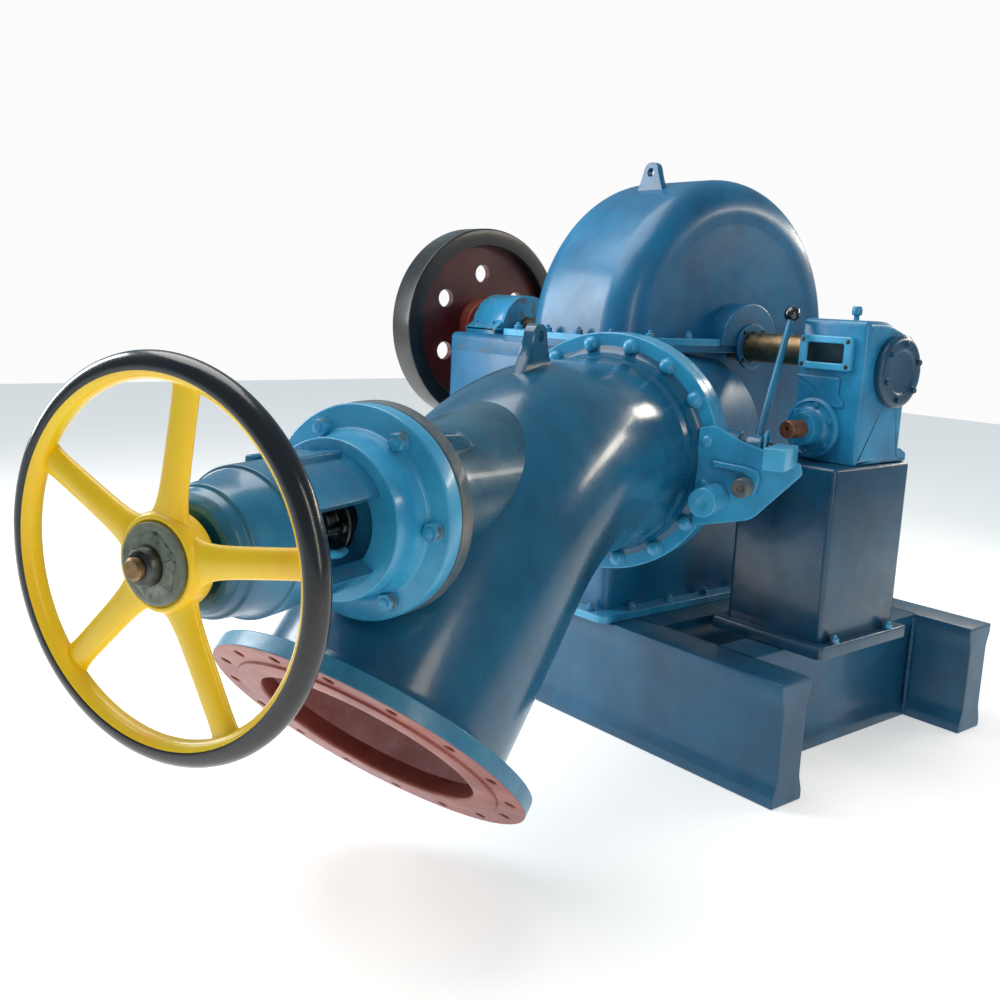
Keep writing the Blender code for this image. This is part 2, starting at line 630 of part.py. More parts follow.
def right_bearing(machine, paint, glass, steel, dark):
    """Stand, bearing housing, sight window, round covers and oil cup."""
    stand_x, stand_width = span(*RIGHT_STAND_X)
    stand_y, stand_depth = span(*RIGHT_STAND_Y)
    z, height = span(CASING_FOOT + GAP, RIGHT_HOUSING_FOOT - GAP)
    stand = piece("right_stand", block((stand_width, stand_depth, height)), paint, machine,
                  (stand_x, stand_y, z))
    soften(stand, 0.01)
    base = tool("right_stand_base", block((stand_width + 0.05, stand_depth + 0.05, 0.03)), machine,
                (stand_x, stand_y, CASING_FOOT + GAP + 0.015))
    fuse(stand, base)
    x, width = span(*RIGHT_HOUSING_X)
    front, foot, top = RIGHT_HOUSING_FRONT, RIGHT_HOUSING_FOOT, RIGHT_HOUSING_TOP
    outline = [(front, foot), (0.088, foot), (0.088, foot + 0.02), (0.056, foot + 0.035), (0.056, -0.09),
               (0.085, -0.045), (0.085, 0.03), (0.06, 0.05), (-0.035, top), (front, top)]
    housing = piece("right_housing", plate_shape([outline], width), paint, machine, (x, 0, 0),
                    (math.pi / 2, 0, math.pi / 2))
    soften(housing, 0.008)
    bore = tool("right_housing_bore", cylinder(SHAFT_RADIUS + 0.0005, 0.3, "X", 48), machine, (x, 0, 0))
    cut(housing, bore)
    cover = piece("end_cover", cylinder(0.08, 0.02, "X", 40), dark, machine,
                  (RIGHT_HOUSING_X[1] + 0.01 + GAP, 0, END_COVER_Z))
    soften(cover, 0.004, 1)
    face = front - GAP
    x, z = WINDOW_AT
    frame = piece("window_frame", block((0.134, 0.014, 0.074)), paint, machine, (x, face - 0.007, z))
    soften(frame, 0.003)
    opening = tool("window_opening", block((0.094, 0.1, 0.042)), machine, (x, face - 0.007, z))
    cut(frame, opening)
    piece("window_glass", block((0.094 - 2 * GAP, 0.006, 0.042 - 2 * GAP)), glass, machine,
          (x, face - 0.005, z))
    x, z = ROUND_COVER_AT
    piece("round_cover", turned_shape([
        (0, face), (0.068, face), (0.068, face - 0.014), (0.04, face - 0.02), (0.036, face - 0.05),
        (0, face - 0.05)], "Y", 40), paint, machine, (x, 0, z))
    piece("stub_shaft", cylinder(0.02, 0.05, "Y", 28), steel, machine,
          (x, face - 0.05 - GAP - 0.025, z))
    piece("oil_cup", turned_shape([(0, 0.03), (0.009, 0.03), (0.011, 0.024), (0.011, 0.012),
                                   (0.006, 0.01), (0.006, 0), (0, 0)], "Z", 20), steel, machine,
          (*OIL_CUP_AT, top + GAP))


def bracket(jet, paint):
    """Triangular plate on the joint flange with its block, boss and link."""
    flange_face = JOINT_AT - JOINT_FLANGE
    plate_at = flange_face - GAP - 0.005
    outline = [(0.215, 0.075), (0.246, 0.084), (0.43, 0.022), (0.436, 0.0), (0.34, -0.105), (0.215, -0.135)]
    piece("bracket_plate", plate_shape([outline], 0.01), paint, jet, (0, plate_at, 0), (math.pi / 2, 0, 0))
    front = plate_at - 0.005 - GAP
    block_piece = piece("guide_block", block((0.045, 0.1, 0.045)), paint, jet, (0.402, front - 0.05, 0.022))
    soften(block_piece, 0.002)
    boss = piece("stop_cylinder", cylinder(0.033, 0.09, "Y", 36), paint, jet, (0.262, front - 0.045, -0.066))
    soften(boss, 0.002, 1)
    link = piece("link_boss", cylinder(0.02, 0.045, "Y", 24), paint, jet, (0.325, front - 0.0225, -0.035))
    soften(link, 0.002, 1)


def deflector_lever(pivot, paint, black, steel):
    """Hand lever outside, pivot through the housing and deflector inside."""
    inner, outer = LEVER_HUB_ACROSS
    middle, width = span(inner, outer)
    start = 0.118
    x, length = span(start, outer + 0.02)
    piece("deflector_pivot", cylinder(PIVOT_RADIUS, length, "X", 24), steel, pivot, (x, 0, 0))
    bore = PIVOT_RADIUS + GAP
    hub = turned_shape([(bore, outer), (0.027, outer), (0.027, inner), (bore, inner)], "X", 32)
    lever = piece("deflector_lever", hub, paint, pivot)
    knob = Vector(KNOB_AT) - Vector((0, PIVOT[1], PIVOT[2]))
    foot = Vector((middle, 0, 0)) + (knob - Vector((middle, 0, 0))).normalized() * 0.02
    grip = knob - (knob - foot).normalized() * 0.012
    rod = tool("lever_rod", tube_shape([tuple(foot), tuple(grip)], [0.0075, 0.0075], 6), pivot)
    fuse(lever, rod)
    piece("lever_knob", ball(0.018), black, pivot, knob)
    socket = tool("lever_knob_room", tube_shape([tuple(foot), tuple(grip)],
                                                [0.0075 + GAP, 0.0075 + GAP], 6), pivot)
    cut(bpy.data.objects["lever_knob"], socket)
    arm = piece("deflector", turned_shape([(bore, 0.145), (0.024, 0.145), (0.024, 0.122), (bore, 0.122)],
                                          "X", 32), steel, pivot)
    beam = tool("deflector_beam", block((0.016, 0.245, 0.014)), pivot, (0.13, 0.14, 0.008))
    plate = tool("deflector_plate", block((0.155, 0.053, 0.008)), pivot, (0.055, 0.281, 0.014))
    fuse(arm, beam, plate)


def build():
    paint = finish("peacock_blue_paint", (0.045, 0.22, 0.36), 0.28)
    light_paint = finish("light_blue_paint", (0.09, 0.42, 0.62), 0.35)
    yellow = finish("yellow_paint", (0.95, 0.62, 0.02), 0.3)
    grey_green = finish("worn_grey_green_paint", (0.22, 0.26, 0.22), 0.6)
    black = finish("black_gloss", (0.01, 0.01, 0.012), 0.2)
    dark_iron = finish("black_and_oxide_iron", (0.03, 0.012, 0.012), 0.35)
    steel = finish("machined_steel", (0.45, 0.42, 0.38), 0.3, 1.0)
    bronze = finish("cast_bronze", (0.55, 0.36, 0.17), 0.28, 1.0)
    glass = finish("sight_glass", (0.02, 0.04, 0.05), 0.08)

    stand = empty("turbine")
    machine = empty("shaft_centre", stand, (0, 0, SHAFT_HEIGHT))
    jet = empty("jet_line", machine, (0, 0, -JET_DROP), (0, 0, JET_ANGLE))
    rotor = empty("rotor", machine)
    wheel = empty("handwheel", jet, (0, WHEEL_AT, 0))
    slide = empty("needle_slide", jet, (0, WHEEL_AT, 0))
    pivot = empty("lever_pivot", jet, PIVOT)

    base_frame(machine, paint)
    casing_hood(machine, paint)
    casing_lower(machine, jet, paint)
    nozzle(jet, steel)
    elbow(jet, paint)
    yoke(jet, light_paint, steel)
    spindle(slide, steel)
    handwheel(wheel, black, yellow, grey_green, steel)
    runner(rotor, bronze)
    shaft_and_flywheel(rotor, steel, dark_iron)
    shaft_seals(machine, steel)
    left_bearing(machine, paint, light_paint)
    right_bearing(machine, light_paint, glass, steel, dark_iron)
    bracket(jet, light_paint)
    deflector_lever(pivot, light_paint, black, steel)
    centre_on_floor(stand)


def centre_on_floor(stand):
    """Move everything so that the middle of its outline is at the origin."""
    bpy.context.view_layer.update()
    graph = bpy.context.evaluated_depsgraph_get()
    corners = [item.matrix_world @ Vector(corner) for item in parts.objects if item.type == "MESH"
               for corner in item.evaluated_get(graph).bound_box]
    for axis in (0, 1):
        values = [corner[axis] for corner in corners]
        stand.location[axis] = -(min(values) + max(values)) / 2
    bpy.context.view_layer.update()


build()
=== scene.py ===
import math

import bmesh
import bpy
import numpy as np
from mathutils import Matrix, Vector


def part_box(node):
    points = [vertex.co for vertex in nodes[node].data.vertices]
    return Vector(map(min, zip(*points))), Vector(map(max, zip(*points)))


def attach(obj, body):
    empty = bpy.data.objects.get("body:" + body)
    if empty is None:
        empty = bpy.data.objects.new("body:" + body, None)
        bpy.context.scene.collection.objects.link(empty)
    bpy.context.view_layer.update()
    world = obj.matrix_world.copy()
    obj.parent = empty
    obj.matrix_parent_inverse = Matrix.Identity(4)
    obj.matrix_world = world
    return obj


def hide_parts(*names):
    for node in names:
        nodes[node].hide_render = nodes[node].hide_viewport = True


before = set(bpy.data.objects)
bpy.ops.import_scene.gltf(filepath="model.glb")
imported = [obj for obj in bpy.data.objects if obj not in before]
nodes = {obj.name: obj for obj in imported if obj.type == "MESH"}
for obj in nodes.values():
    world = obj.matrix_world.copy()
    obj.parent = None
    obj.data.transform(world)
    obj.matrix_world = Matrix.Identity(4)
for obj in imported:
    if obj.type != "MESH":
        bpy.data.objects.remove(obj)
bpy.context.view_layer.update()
print("stage 1: frame loaded,", len(nodes), "nodes")


# Places: every group of pieces is drawn about its own axis, then carried to the model's frame

def shiftBy(x, y, z):
    return np.array(Matrix.Translation((x, y, z)))


def turnAbout(axis, degrees):
    return np.array(Matrix.Rotation(math.radians(degrees), 4, axis))


machineSizes = {"jetAngle": 22.0, "jetDrop": 0.231, "elbowTurn": 6.5, "shaftHeight": 0.92, "shaftHead": 0.555}
shaftLow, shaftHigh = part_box("shaft")
machinePlace = shiftBy(shaftHigh.x - machineSizes["shaftHead"], (shaftLow.y + shaftHigh.y) / 2,
    machineSizes["shaftHeight"])
jetPlace = machinePlace @ shiftBy(0, 0, -machineSizes["jetDrop"]) @ turnAbout("Z", machineSizes["jetAngle"])
elbowPlace = jetPlace @ turnAbout("Y", machineSizes["elbowTurn"])


# Shapes: a shape is a pair of arrays, its corners and the quads that join them

def cellQuads(rows, columns, wrapRows=False, wrapColumns=False):
    # each cell of a grid of corners, as the numbers of its four corners
    row, column = np.meshgrid(np.arange(rows - (not wrapRows)), np.arange(columns - (not wrapColumns)), indexing="ij")
    nextRow, nextColumn = (row + 1) % rows, (column + 1) % columns
    corners = (row * columns + column, row * columns + nextColumn, nextRow * columns + nextColumn,
        nextRow * columns + column)
    return np.stack(corners, -1).reshape(-1, 4)


def surface(points, wrapRows=False, wrapColumns=False):
    # points is an array of rows by columns by three
    rows, columns = points.shape[:2]
    return points.reshape(-1, 3), cellQuads(rows, columns, wrapRows, wrapColumns)


def joined(*shapes):
    # the shapes side by side in one pair of arrays
    counts = np.cumsum([0] + [len(corners) for corners, quads in shapes])
    return (np.concatenate([corners for corners, quads in shapes]),
        np.concatenate([quads + start for (corners, quads), start in zip(shapes, counts)]))


def carried(shape, place):
    # every corner times a 4 by 4 place
    corners, quads = shape
    return corners @ place[:3, :3].T + place[:3, 3], quads


def copiesAt(shape, places):
    # one copy of the shape for each 4 by 4 place
    corners, quads = shape
    places = np.asarray(places, float).reshape(-1, 4, 4)
    moved = np.einsum("nij,kj->nki", places[:, :3, :3], corners) + places[:, None, :3, 3]
    numbers = quads[None] + (np.arange(len(places)) * len(corners))[:, None, None]
    return moved.reshape(-1, 3), numbers.reshape(-1, 4)


def eased(corners, radii, steps=4, closed=False):
    # a polyline whose corners are parabola arcs: each arc starts and ends one radius away along the two
    # sides, never past 0.49 of a side, and is the quadratic blend of start, corner and end
    points = np.asarray(corners, float)
    radii = np.broadcast_to(np.asarray(radii, float), len(points)).copy()
    before, after = np.roll(points, 1, 0) - points, np.roll(points, -1, 0) - points
    lengthBefore, lengthAfter = (np.maximum(np.linalg.norm(side, axis=1), 1e-9) for side in (before, after))
    if not closed:
        radii[[0, -1]] = 0
    reach = np.minimum(radii, 0.49 * np.minimum(lengthBefore, lengthAfter))[:, None]
    start = points + before / lengthBefore[:, None] * reach
    end = points + after / lengthAfter[:, None] * reach
    t = np.linspace(0, 1, steps + 1)[None, :, None]
    arcs = (1 - t) ** 2 * start[:, None] + 2 * t * (1 - t) * points[:, None] + t ** 2 * end[:, None]
    line = arcs.reshape(-1, points.shape[1])
    keep = np.ones(len(line), bool)
    keep[1:] = np.linalg.norm(np.diff(line, axis=0), axis=1) > 1e-6
    return line[keep]


axisOrder = {"X": (2, 0, 1), "Y": (0, 2, 1), "Z": (0, 1, 2)}


def turned(profile, axis="Y", steps=96, start=0.0, sweep=360.0, closed=False):
    # radius and station pairs carried round an axis: radius times cosine and sine of the angle, at the station
    profile = np.asarray(profile, float)
    full = sweep == 360.0
    angle = np.radians(start + sweep * np.arange(steps + (not full)) / steps)
    radius, station = profile[:, :1], profile[:, 1:]
    flat = np.stack([radius * np.cos(angle), radius * np.sin(angle), station + 0 * angle], -1)
    return surface(flat[..., axisOrder[axis]], closed, full)


def turnedPart(profile, axis, steps, start, sweep):
    # a closed profile carried part of the way round, with a fan of faces over each end
    count = len(profile)
    corners, quads = turned(profile, axis, steps, start, sweep, True)
    grid = corners.reshape(count, -1, 3)
    fans = [surface(np.stack([grid[:, column], np.broadcast_to(grid[:, column].mean(0), (count, 3))]),
        wrapColumns=True) for column in (0, -1)]
    return joined((corners, quads), *fans)


def turnedSoft(corners, radii, arcSteps, axis, steps, closed=False):
    # a turned shape whose profile has its corners eased
    return turned(eased(corners, radii, arcSteps, closed), axis, steps, closed=closed)


def slab(outline, stations, insets, axis="Y"):
    # a closed outline carried along an axis and drawn in by an inset at each station: a corner moves along
    # the mitre of its two sides, and both ends close on the outline's middle
    outline = np.asarray(outline, float)
    side = np.roll(outline, -1, 0) - outline
    normal = np.stack([side[:, 1], -side[:, 0]], 1) / np.maximum(np.linalg.norm(side, axis=1), 1e-9)[:, None]
    previous = np.roll(normal, 1, 0)
    mitre = (normal + previous) / (1 + (normal * previous).sum(1))[:, None].clip(0.35)
    if (outline[:, 0] * np.roll(outline[:, 1], -1) - np.roll(outline[:, 0], -1) * outline[:, 1]).sum() < 0:
        mitre = -mitre
    stations = np.asarray(stations, float)
    rings = outline[None] - np.asarray(insets, float)[:, None, None] * mitre[None]
    middle = np.broadcast_to(outline.mean(0), rings[:1].shape)
    # a ring just inside each rim keeps the flat ends flat in smooth shading
    rings = np.concatenate([middle, rings[:1] * 0.95 + middle * 0.05, rings, rings[-1:] * 0.95 + middle * 0.05,
        middle])
    height = stations[[0, 0, *range(len(stations)), -1, -1]][:, None] + np.zeros(len(outline))
    flat = np.concatenate([rings, height[..., None]], -1)
    return surface(flat[..., axisOrder[axis]], wrapColumns=True)


def softSlab(outline, low, high, edge=0.003, axis="Y", steps=3):
    # a slab with quarter rounds on both rims: inset is edge times one less sine, height edge times one less cosine
    angle = np.linspace(0, math.pi / 2, steps + 1)
    inset, rise = edge * (1 - np.sin(angle)), edge * (1 - np.cos(angle))
    return slab(outline, np.concatenate([low + rise, (high - rise)[::-1]]), np.concatenate([inset, inset[::-1]]),
        axis)


def rectangle(width, height, corner, middle=(0, 0), steps=4):
    # a rectangle's outline with eased corners
    x, y = width / 2, height / 2
    outline = eased([(-x, -y), (x, -y), (x, y), (-x, y)], corner, steps, True)
    return outline + np.asarray(middle, float)


def softBlock(low, high, corner=0.006, edge=0.004, axis="Z"):
    # a block between two corners, rounded on its upright and its level edges
    low, high = np.asarray(low, float), np.asarray(high, float)
    first, second, along = {"X": (1, 2, 0), "Y": (0, 2, 1), "Z": (0, 1, 2)}[axis]
    size, middle = high - low, (high + low) / 2
    outline = rectangle(size[first], size[second], corner, (middle[first], middle[second]))
    return softSlab(outline, low[along], high[along], edge, axis)


def capped(rings):
    # rings of corners joined along, each end closed on its own middle
    ends = [np.broadcast_to(rings[row].mean(0), (1, *rings.shape[1:])) for row in (0, -1)]
    return surface(np.concatenate([ends[0], rings, ends[1]]), wrapColumns=True)


def rod(points, radii, steps=16, closedPath=False):
    # circles carried along a path: at each point the circle stands across the path's direction, in axes
    # made from that direction and the path's own flattest side
    points = np.asarray(points, float)
    radii = np.broadcast_to(np.asarray(radii, float), len(points))
    along = np.gradient(points, axis=0)
    if closedPath:
        along = np.roll(points, -1, 0) - np.roll(points, 1, 0)
    along /= np.linalg.norm(along, axis=1)[:, None]
    spread = np.linalg.svd(points - points.mean(0))[2][-1]
    across = np.cross(along, spread)
    weak = np.linalg.norm(across, axis=1) < 1e-4
    across[weak] = np.cross(along[weak], (0.31, 0.52, 0.79))
    across /= np.linalg.norm(across, axis=1)[:, None]
    other = np.cross(along, across)
    angle = 2 * math.pi * np.arange(steps) / steps
    ring = (np.cos(angle)[None, :, None] * across[:, None] + np.sin(angle)[None, :, None] * other[:, None])
    body = points[:, None] + radii[:, None, None] * ring
    return surface(body, True, True) if closedPath else capped(body)


def drilledRing(inner, outer, circle, hole, count, low, high, startAngle=0.0, axis="Y", perSide=4):
    # a flat ring with round holes: each hole has a sector of the ring to itself, and every ray from the
    # hole's rim runs straight to the sector's border, found by pushing the ray's direction out to a square
    sides = 8 * perSide
    ray = 2 * math.pi * np.arange(sides) / sides
    push = 1 / np.maximum(abs(np.cos(ray)), abs(np.sin(ray)))
    square = np.stack([np.cos(ray) * push, np.sin(ray) * push], 1)
    share = np.linspace(0, 1, 4)[:, None]
    centres = np.radians(startAngle) + 2 * math.pi * np.arange(count) / count
    half = math.pi / count
    borderRadius = np.where(square[:, 0] > 0, circle + square[:, 0] * (outer - circle),
        circle + square[:, 0] * (circle - inner))
    borderAngle = square[:, 1] * half
    border = np.stack([borderRadius * np.cos(borderAngle), borderRadius * np.sin(borderAngle)], 1)
    rim = np.stack([circle + hole * np.cos(ray), hole * np.sin(ray)], 1)
    sector = rim[None] * (1 - share[..., None]) + border[None] * share[..., None]
    turns = np.stack([np.stack([np.cos(centres), -np.sin(centres)], -1),
        np.stack([np.sin(centres), np.cos(centres)], -1)], 1)
    faces = []
    for station in (low, high):
        flat = np.einsum("nij,rkj->nrki", turns, sector)
        full = np.concatenate([flat, np.full(flat.shape[:3] + (1,), station)], -1)[..., axisOrder[axis]]
        faces.append(full)
    shapes = [surface(points, wrapColumns=True) for full in faces for points in full]
    for row, wanted in ((0, None), (3, "outer"), (3, "inner")):
        wall = np.stack([faces[0][:, row], faces[1][:, row]], 1)
        if wanted is None:
            shapes += [surface(points, wrapColumns=True) for points in wall]
            continue
        onSide = np.isclose(borderRadius, outer if wanted == "outer" else inner)
        order = np.flatnonzero(onSide)
        order = order[np.argsort(borderAngle[order])]
        shapes += [surface(points[:, order]) for points in wall]
    return joined(*shapes)


def ringPlaces(radius, count, station, startAngle=0.0, axis="Y"):
    # places spread evenly round an axis, each turned with its own angle
    out = shiftBy(station, radius, 0) if axis == "X" else shiftBy(radius, station, 0)
    angles = startAngle + 360 * np.arange(count) / count
    return [turnAbout(axis, -angle if axis == "Y" else angle) @ out for angle in angles]


def hexOutline(across, turn):
    # six corners with a small ease, sized across the flats
    angle = np.radians(turn + 60 * np.arange(6))
    reach = across / math.sqrt(3)
    return eased(np.stack([reach * np.cos(angle), reach * np.sin(angle)], 1), across * 0.03, 1, True)


def hexBolt(across, height, axis="Y", stud=0.0):
    # a chamfered hexagon on a washer, standing on zero and rising against the axis, with the end of a stud
    washer = np.array([(0, 0.0006), (across * 0.62, 0.0006), (across * 0.62, -height * 0.16),
        (across * 0.58, -height * 0.2), (0, -height * 0.2)])
    shapes = [slab(hexOutline(across, 13.0), [0, -height * 0.86, -height], [0, 0, across * 0.055], axis),
        turned(washer, axis, 20)]
    if stud:
        thread, tip = across * 0.29, -height - stud
        shapes.append(turned([(0, -height * 0.5), (thread, -height * 0.5), (thread, -height - stud * 0.8),
            (thread * 0.8, tip), (0, tip)], axis, 14))
    return joined(*shapes)


def domeNut(radius, height, axis="Y"):
    # a low collar with a rounded cap: the cap's profile is a quarter ellipse
    angle = np.linspace(0, math.pi / 2, 6)
    dome = np.stack([radius * np.cos(angle), -height * (0.35 + 0.65 * np.sin(angle))], 1)
    profile = np.concatenate([[(0, 0.0006), (radius * 1.16, 0.0006), (radius * 1.16, -height * 0.16),
        (radius, -height * 0.22)], dome])
    return turned(profile, axis, 18)


pieceLog = []
meshSizes = {"merge": 2e-6, "crease": 34, "bevelFrom": 40}


def makePiece(name, parts, node, place=machinePlace, body="frame", bevel=0.0):
    # parts is a list of shapes under the name of each finish; doubles merge and faces are turned outwards
    mesh = bpy.data.meshes.new(name)
    shapes = [(shape, number) for number, group in enumerate(parts.values()) for shape in group]
    corners, quads = carried(joined(*(shape for shape, number in shapes)), place)
    mesh.vertices.add(len(corners))
    mesh.vertices.foreach_set("co", corners.astype(np.float32).ravel())
    mesh.loops.add(quads.size)
    mesh.loops.foreach_set("vertex_index", quads.astype(np.int32).ravel())
    mesh.polygons.add(len(quads))
    mesh.polygons.foreach_set("loop_start", (4 * np.arange(len(quads))).astype(np.int32))
    for look in parts:
        mesh.materials.append(looks[look])
    numbers = np.concatenate([np.full(len(shape[1]), number) for shape, number in shapes])
    mesh.update(calc_edges=True)
    mesh.polygons.foreach_set("material_index", numbers.astype(np.int32))
    work = bmesh.new()
    work.from_mesh(mesh)
    bmesh.ops.remove_doubles(work, verts=work.verts, dist=meshSizes["merge"])
    bmesh.ops.dissolve_degenerate(work, dist=1e-7, edges=work.edges)
    bmesh.ops.recalc_face_normals(work, faces=work.faces)
    work.to_mesh(mesh)
    work.free()
    mesh.validate()
    item = bpy.data.objects.new(name, mesh)
    bpy.context.scene.collection.objects.link(item)
    if bevel:
        edges = item.modifiers.new("softEdges", "BEVEL")
        edges.width, edges.segments, edges.limit_method = bevel, 2, "ANGLE"
        edges.angle_limit = math.radians(meshSizes["bevelFrom"])
    mesh.shade_smooth()
    mesh.set_sharp_from_angle(angle=math.radians(meshSizes["crease"]))
    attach(item, body)
    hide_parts(node)
    pieceLog.append((name, len(mesh.polygons)))
print("stage 2: shape tools ready")


# Finishes: effects shared by several materials are node groups, the shader itself stays in each material

def linear(red, green, blue):
    # a screen colour from 0 to 255 as the linear colour the shader wants
    share = np.array([red, green, blue]) / 255
    return (*np.where(share < 0.04045, share / 12.92, ((share + 0.055) / 1.055) ** 2.4), 1.0)


def addNode(tree, kind, links=(), values=(), **options):
    # one node with its options, plain values and incoming links
    node = tree.nodes.new(kind)
    for label, value in options.items():
        setattr(node, label, value)
    for label, value in dict(values).items():
        node.inputs[label].default_value = value
    for label, source in dict(links).items():
        tree.links.new(source, node.inputs[label])
    return node


def newGroup(name, inputs, outputs):
    # a node group with number sockets, its two ends, its coordinates, and those times its size
    group = bpy.data.node_groups.new(name, "ShaderNodeTree")
    for label, value in inputs.items():
        group.interface.new_socket(label, in_out="INPUT", socket_type="NodeSocketFloat").default_value = value
    for label in outputs:
        group.interface.new_socket(label, in_out="OUTPUT", socket_type="NodeSocketFloat")
    entry, leave = group.nodes.new("NodeGroupInput"), group.nodes.new("NodeGroupOutput")
    coordinates = addNode(group, "ShaderNodeTexCoord")
    links = {0: coordinates.outputs["Object"], "Scale": entry.outputs["Size"]}
    return group, entry, leave, coordinates, addNode(group, "ShaderNodeVectorMath", links,
        operation="SCALE").outputs[0]


def give(group, leave, **results):
    for label, source in results.items():
        group.links.new(source, leave.inputs[label])


def mapRange(tree, source, low, high, toLow=0.0, toHigh=1.0):
    return addNode(tree, "ShaderNodeMapRange", {"Value": source},
        {"From Min": low, "From Max": high, "To Min": toLow, "To Max": toHigh}).outputs[0]


def blendValues(tree, first, second, operation="MULTIPLY"):
    node = tree.nodes.new("ShaderNodeMath")
    node.operation = operation
    for socket, source in zip(node.inputs, (first, second)):
        if isinstance(source, (int, float)):
            socket.default_value = source
        else:
            tree.links.new(source, socket)
    return node.outputs[0]


def noiseValue(tree, coordinates, scale, detail=4.0, roughness=0.55, distortion=0.0):
    return addNode(tree, "ShaderNodeTexNoise", {"Vector": coordinates},
        {"Scale": scale, "Detail": detail, "Roughness": roughness, "Distortion": distortion}).outputs["Fac"]


def glossRange(group, entry, pattern):
    # a pattern as a roughness between the group's two gloss values
    links = {"Value": pattern, "To Min": entry.outputs["Gloss Low"], "To Max": entry.outputs["Gloss High"]}
    return addNode(group, "ShaderNodeMapRange", links, {"From Min": 0.3, "From Max": 0.7}).outputs[0]


# paint: clouds of tone, vertical runs, a changing gloss and a brush-and-casting relief
brushedPaint, entry, leave, coordinates, sized = newGroup("brushedPaint",
    {"Size": 1.0, "Gloss Low": 0.2, "Gloss High": 0.4, "Lumps": 0.5}, ("Tone", "Roughness", "Height"))
clouds = mapRange(brushedPaint, noiseValue(brushedPaint, sized, 4.2, 6.0, 0.6), 0.32, 0.68)
stretched = addNode(brushedPaint, "ShaderNodeMapping", {"Vector": sized}, {"Scale": (30.0, 30.0, 3.0)}).outputs[0]
runs = mapRange(brushedPaint, noiseValue(brushedPaint, stretched, 1.0, 3.0, 0.5), 0.3, 0.75, -0.12, 0.12)
lumps = blendValues(brushedPaint, noiseValue(brushedPaint, sized, 26.0, 3.0, 0.5), entry.outputs["Lumps"])
peel = blendValues(brushedPaint, noiseValue(brushedPaint, sized, 190.0, 2.0, 0.5), 0.12)
give(brushedPaint, leave, Tone=blendValues(brushedPaint, clouds, runs, "ADD"),
    Roughness=glossRange(brushedPaint, entry, noiseValue(brushedPaint, sized, 11.0, 5.0, 0.6)),
    Height=blendValues(brushedPaint, lumps, peel, "ADD"))

# wear: the mesh's own sharp places, broken up by noise
edgeWear, entry, leave, coordinates, sized = newGroup("edgeWear", {"Amount": 0.5, "Size": 1.0}, ("Mask",))
sharpness = mapRange(edgeWear, addNode(edgeWear, "ShaderNodeNewGeometry").outputs["Pointiness"], 0.53, 0.6)
wornEdge = blendValues(edgeWear, sharpness, mapRange(edgeWear, noiseValue(edgeWear, sized, 24.0, 6.0, 0.65), 0.5,
    0.62))
give(edgeWear, leave, Mask=blendValues(edgeWear, wornEdge, entry.outputs["Amount"]))

# dust: what settles on faces that look up, thinner and thicker in clouds
settledDust, entry, leave, coordinates, sized = newGroup("settledDust", {"Amount": 0.3, "Size": 1.0}, ("Mask",))
upwards = addNode(settledDust, "ShaderNodeSeparateXYZ", {0: coordinates.outputs["Normal"]}).outputs[2]
drift = mapRange(settledDust, noiseValue(settledDust, sized, 7.0, 7.0, 0.65), 0.35, 0.7)
mask = blendValues(settledDust, mapRange(settledDust, upwards, 0.45, 1.0), drift)
give(settledDust, leave, Mask=blendValues(settledDust, mask, entry.outputs["Amount"]))

# metal: stains in the tone, fine scratches and pits in the relief
metalGrain, entry, leave, coordinates, sized = newGroup("metalGrain",
    {"Size": 1.0, "Gloss Low": 0.25, "Gloss High": 0.5, "Pits": 0.5}, ("Tone", "Roughness", "Height"))
pits = mapRange(metalGrain, noiseValue(metalGrain, sized, 90.0, 5.0, 0.7), 0.3, 0.7)
give(metalGrain, leave, Tone=mapRange(metalGrain, noiseValue(metalGrain, sized, 16.0, 8.0, 0.68, 0.4), 0.35, 0.68),
    Roughness=glossRange(metalGrain, entry, noiseValue(metalGrain, sized, 34.0, 5.0, 0.6)),
    Height=blendValues(metalGrain, pits, entry.outputs["Pits"]))


def useGroup(tree, group, **values):
    node = tree.nodes.new("ShaderNodeGroup")
    node.node_tree = group
    for label, value in values.items():
        node.inputs[label.replace("_", " ")].default_value = value
    return node


def mixColours(tree, mask, first, second):
    node = tree.nodes.new("ShaderNodeMix")
    node.data_type = "RGBA"
    tree.links.new(mask, node.inputs[0])
    for socket, source in ((node.inputs[6], first), (node.inputs[7], second)):
        if isinstance(source, tuple):
            socket.default_value = source
        else:
            tree.links.new(source, socket)
    return node.outputs[2]


def startLook(name):
    look = bpy.data.materials.new(name)
    look.use_nodes = True
    tree = look.node_tree
    return look, tree, tree.nodes["Principled BSDF"]


def laidOver(tree, group, amount, size, colour, over):
    # one colour over another where a group's mask says
    return mixColours(tree, useGroup(tree, group, Amount=amount, Size=size).outputs["Mask"], colour, linear(*over))


def finished(look, tree, shader, grain, colour, coat, strength, relief):
    # the links that paint and metal share: colour, roughness, coat and relief
    tree.links.new(colour, shader.inputs["Base Color"])
    tree.links.new(grain.outputs["Roughness"], shader.inputs["Roughness"])
    shader.inputs["Coat Weight"].default_value = coat
    links, values = {"Height": grain.outputs["Height"]}, {"Strength": strength, "Distance": relief}
    tree.links.new(addNode(tree, "ShaderNodeBump", links, values).outputs[0], shader.inputs["Normal"])
    return look


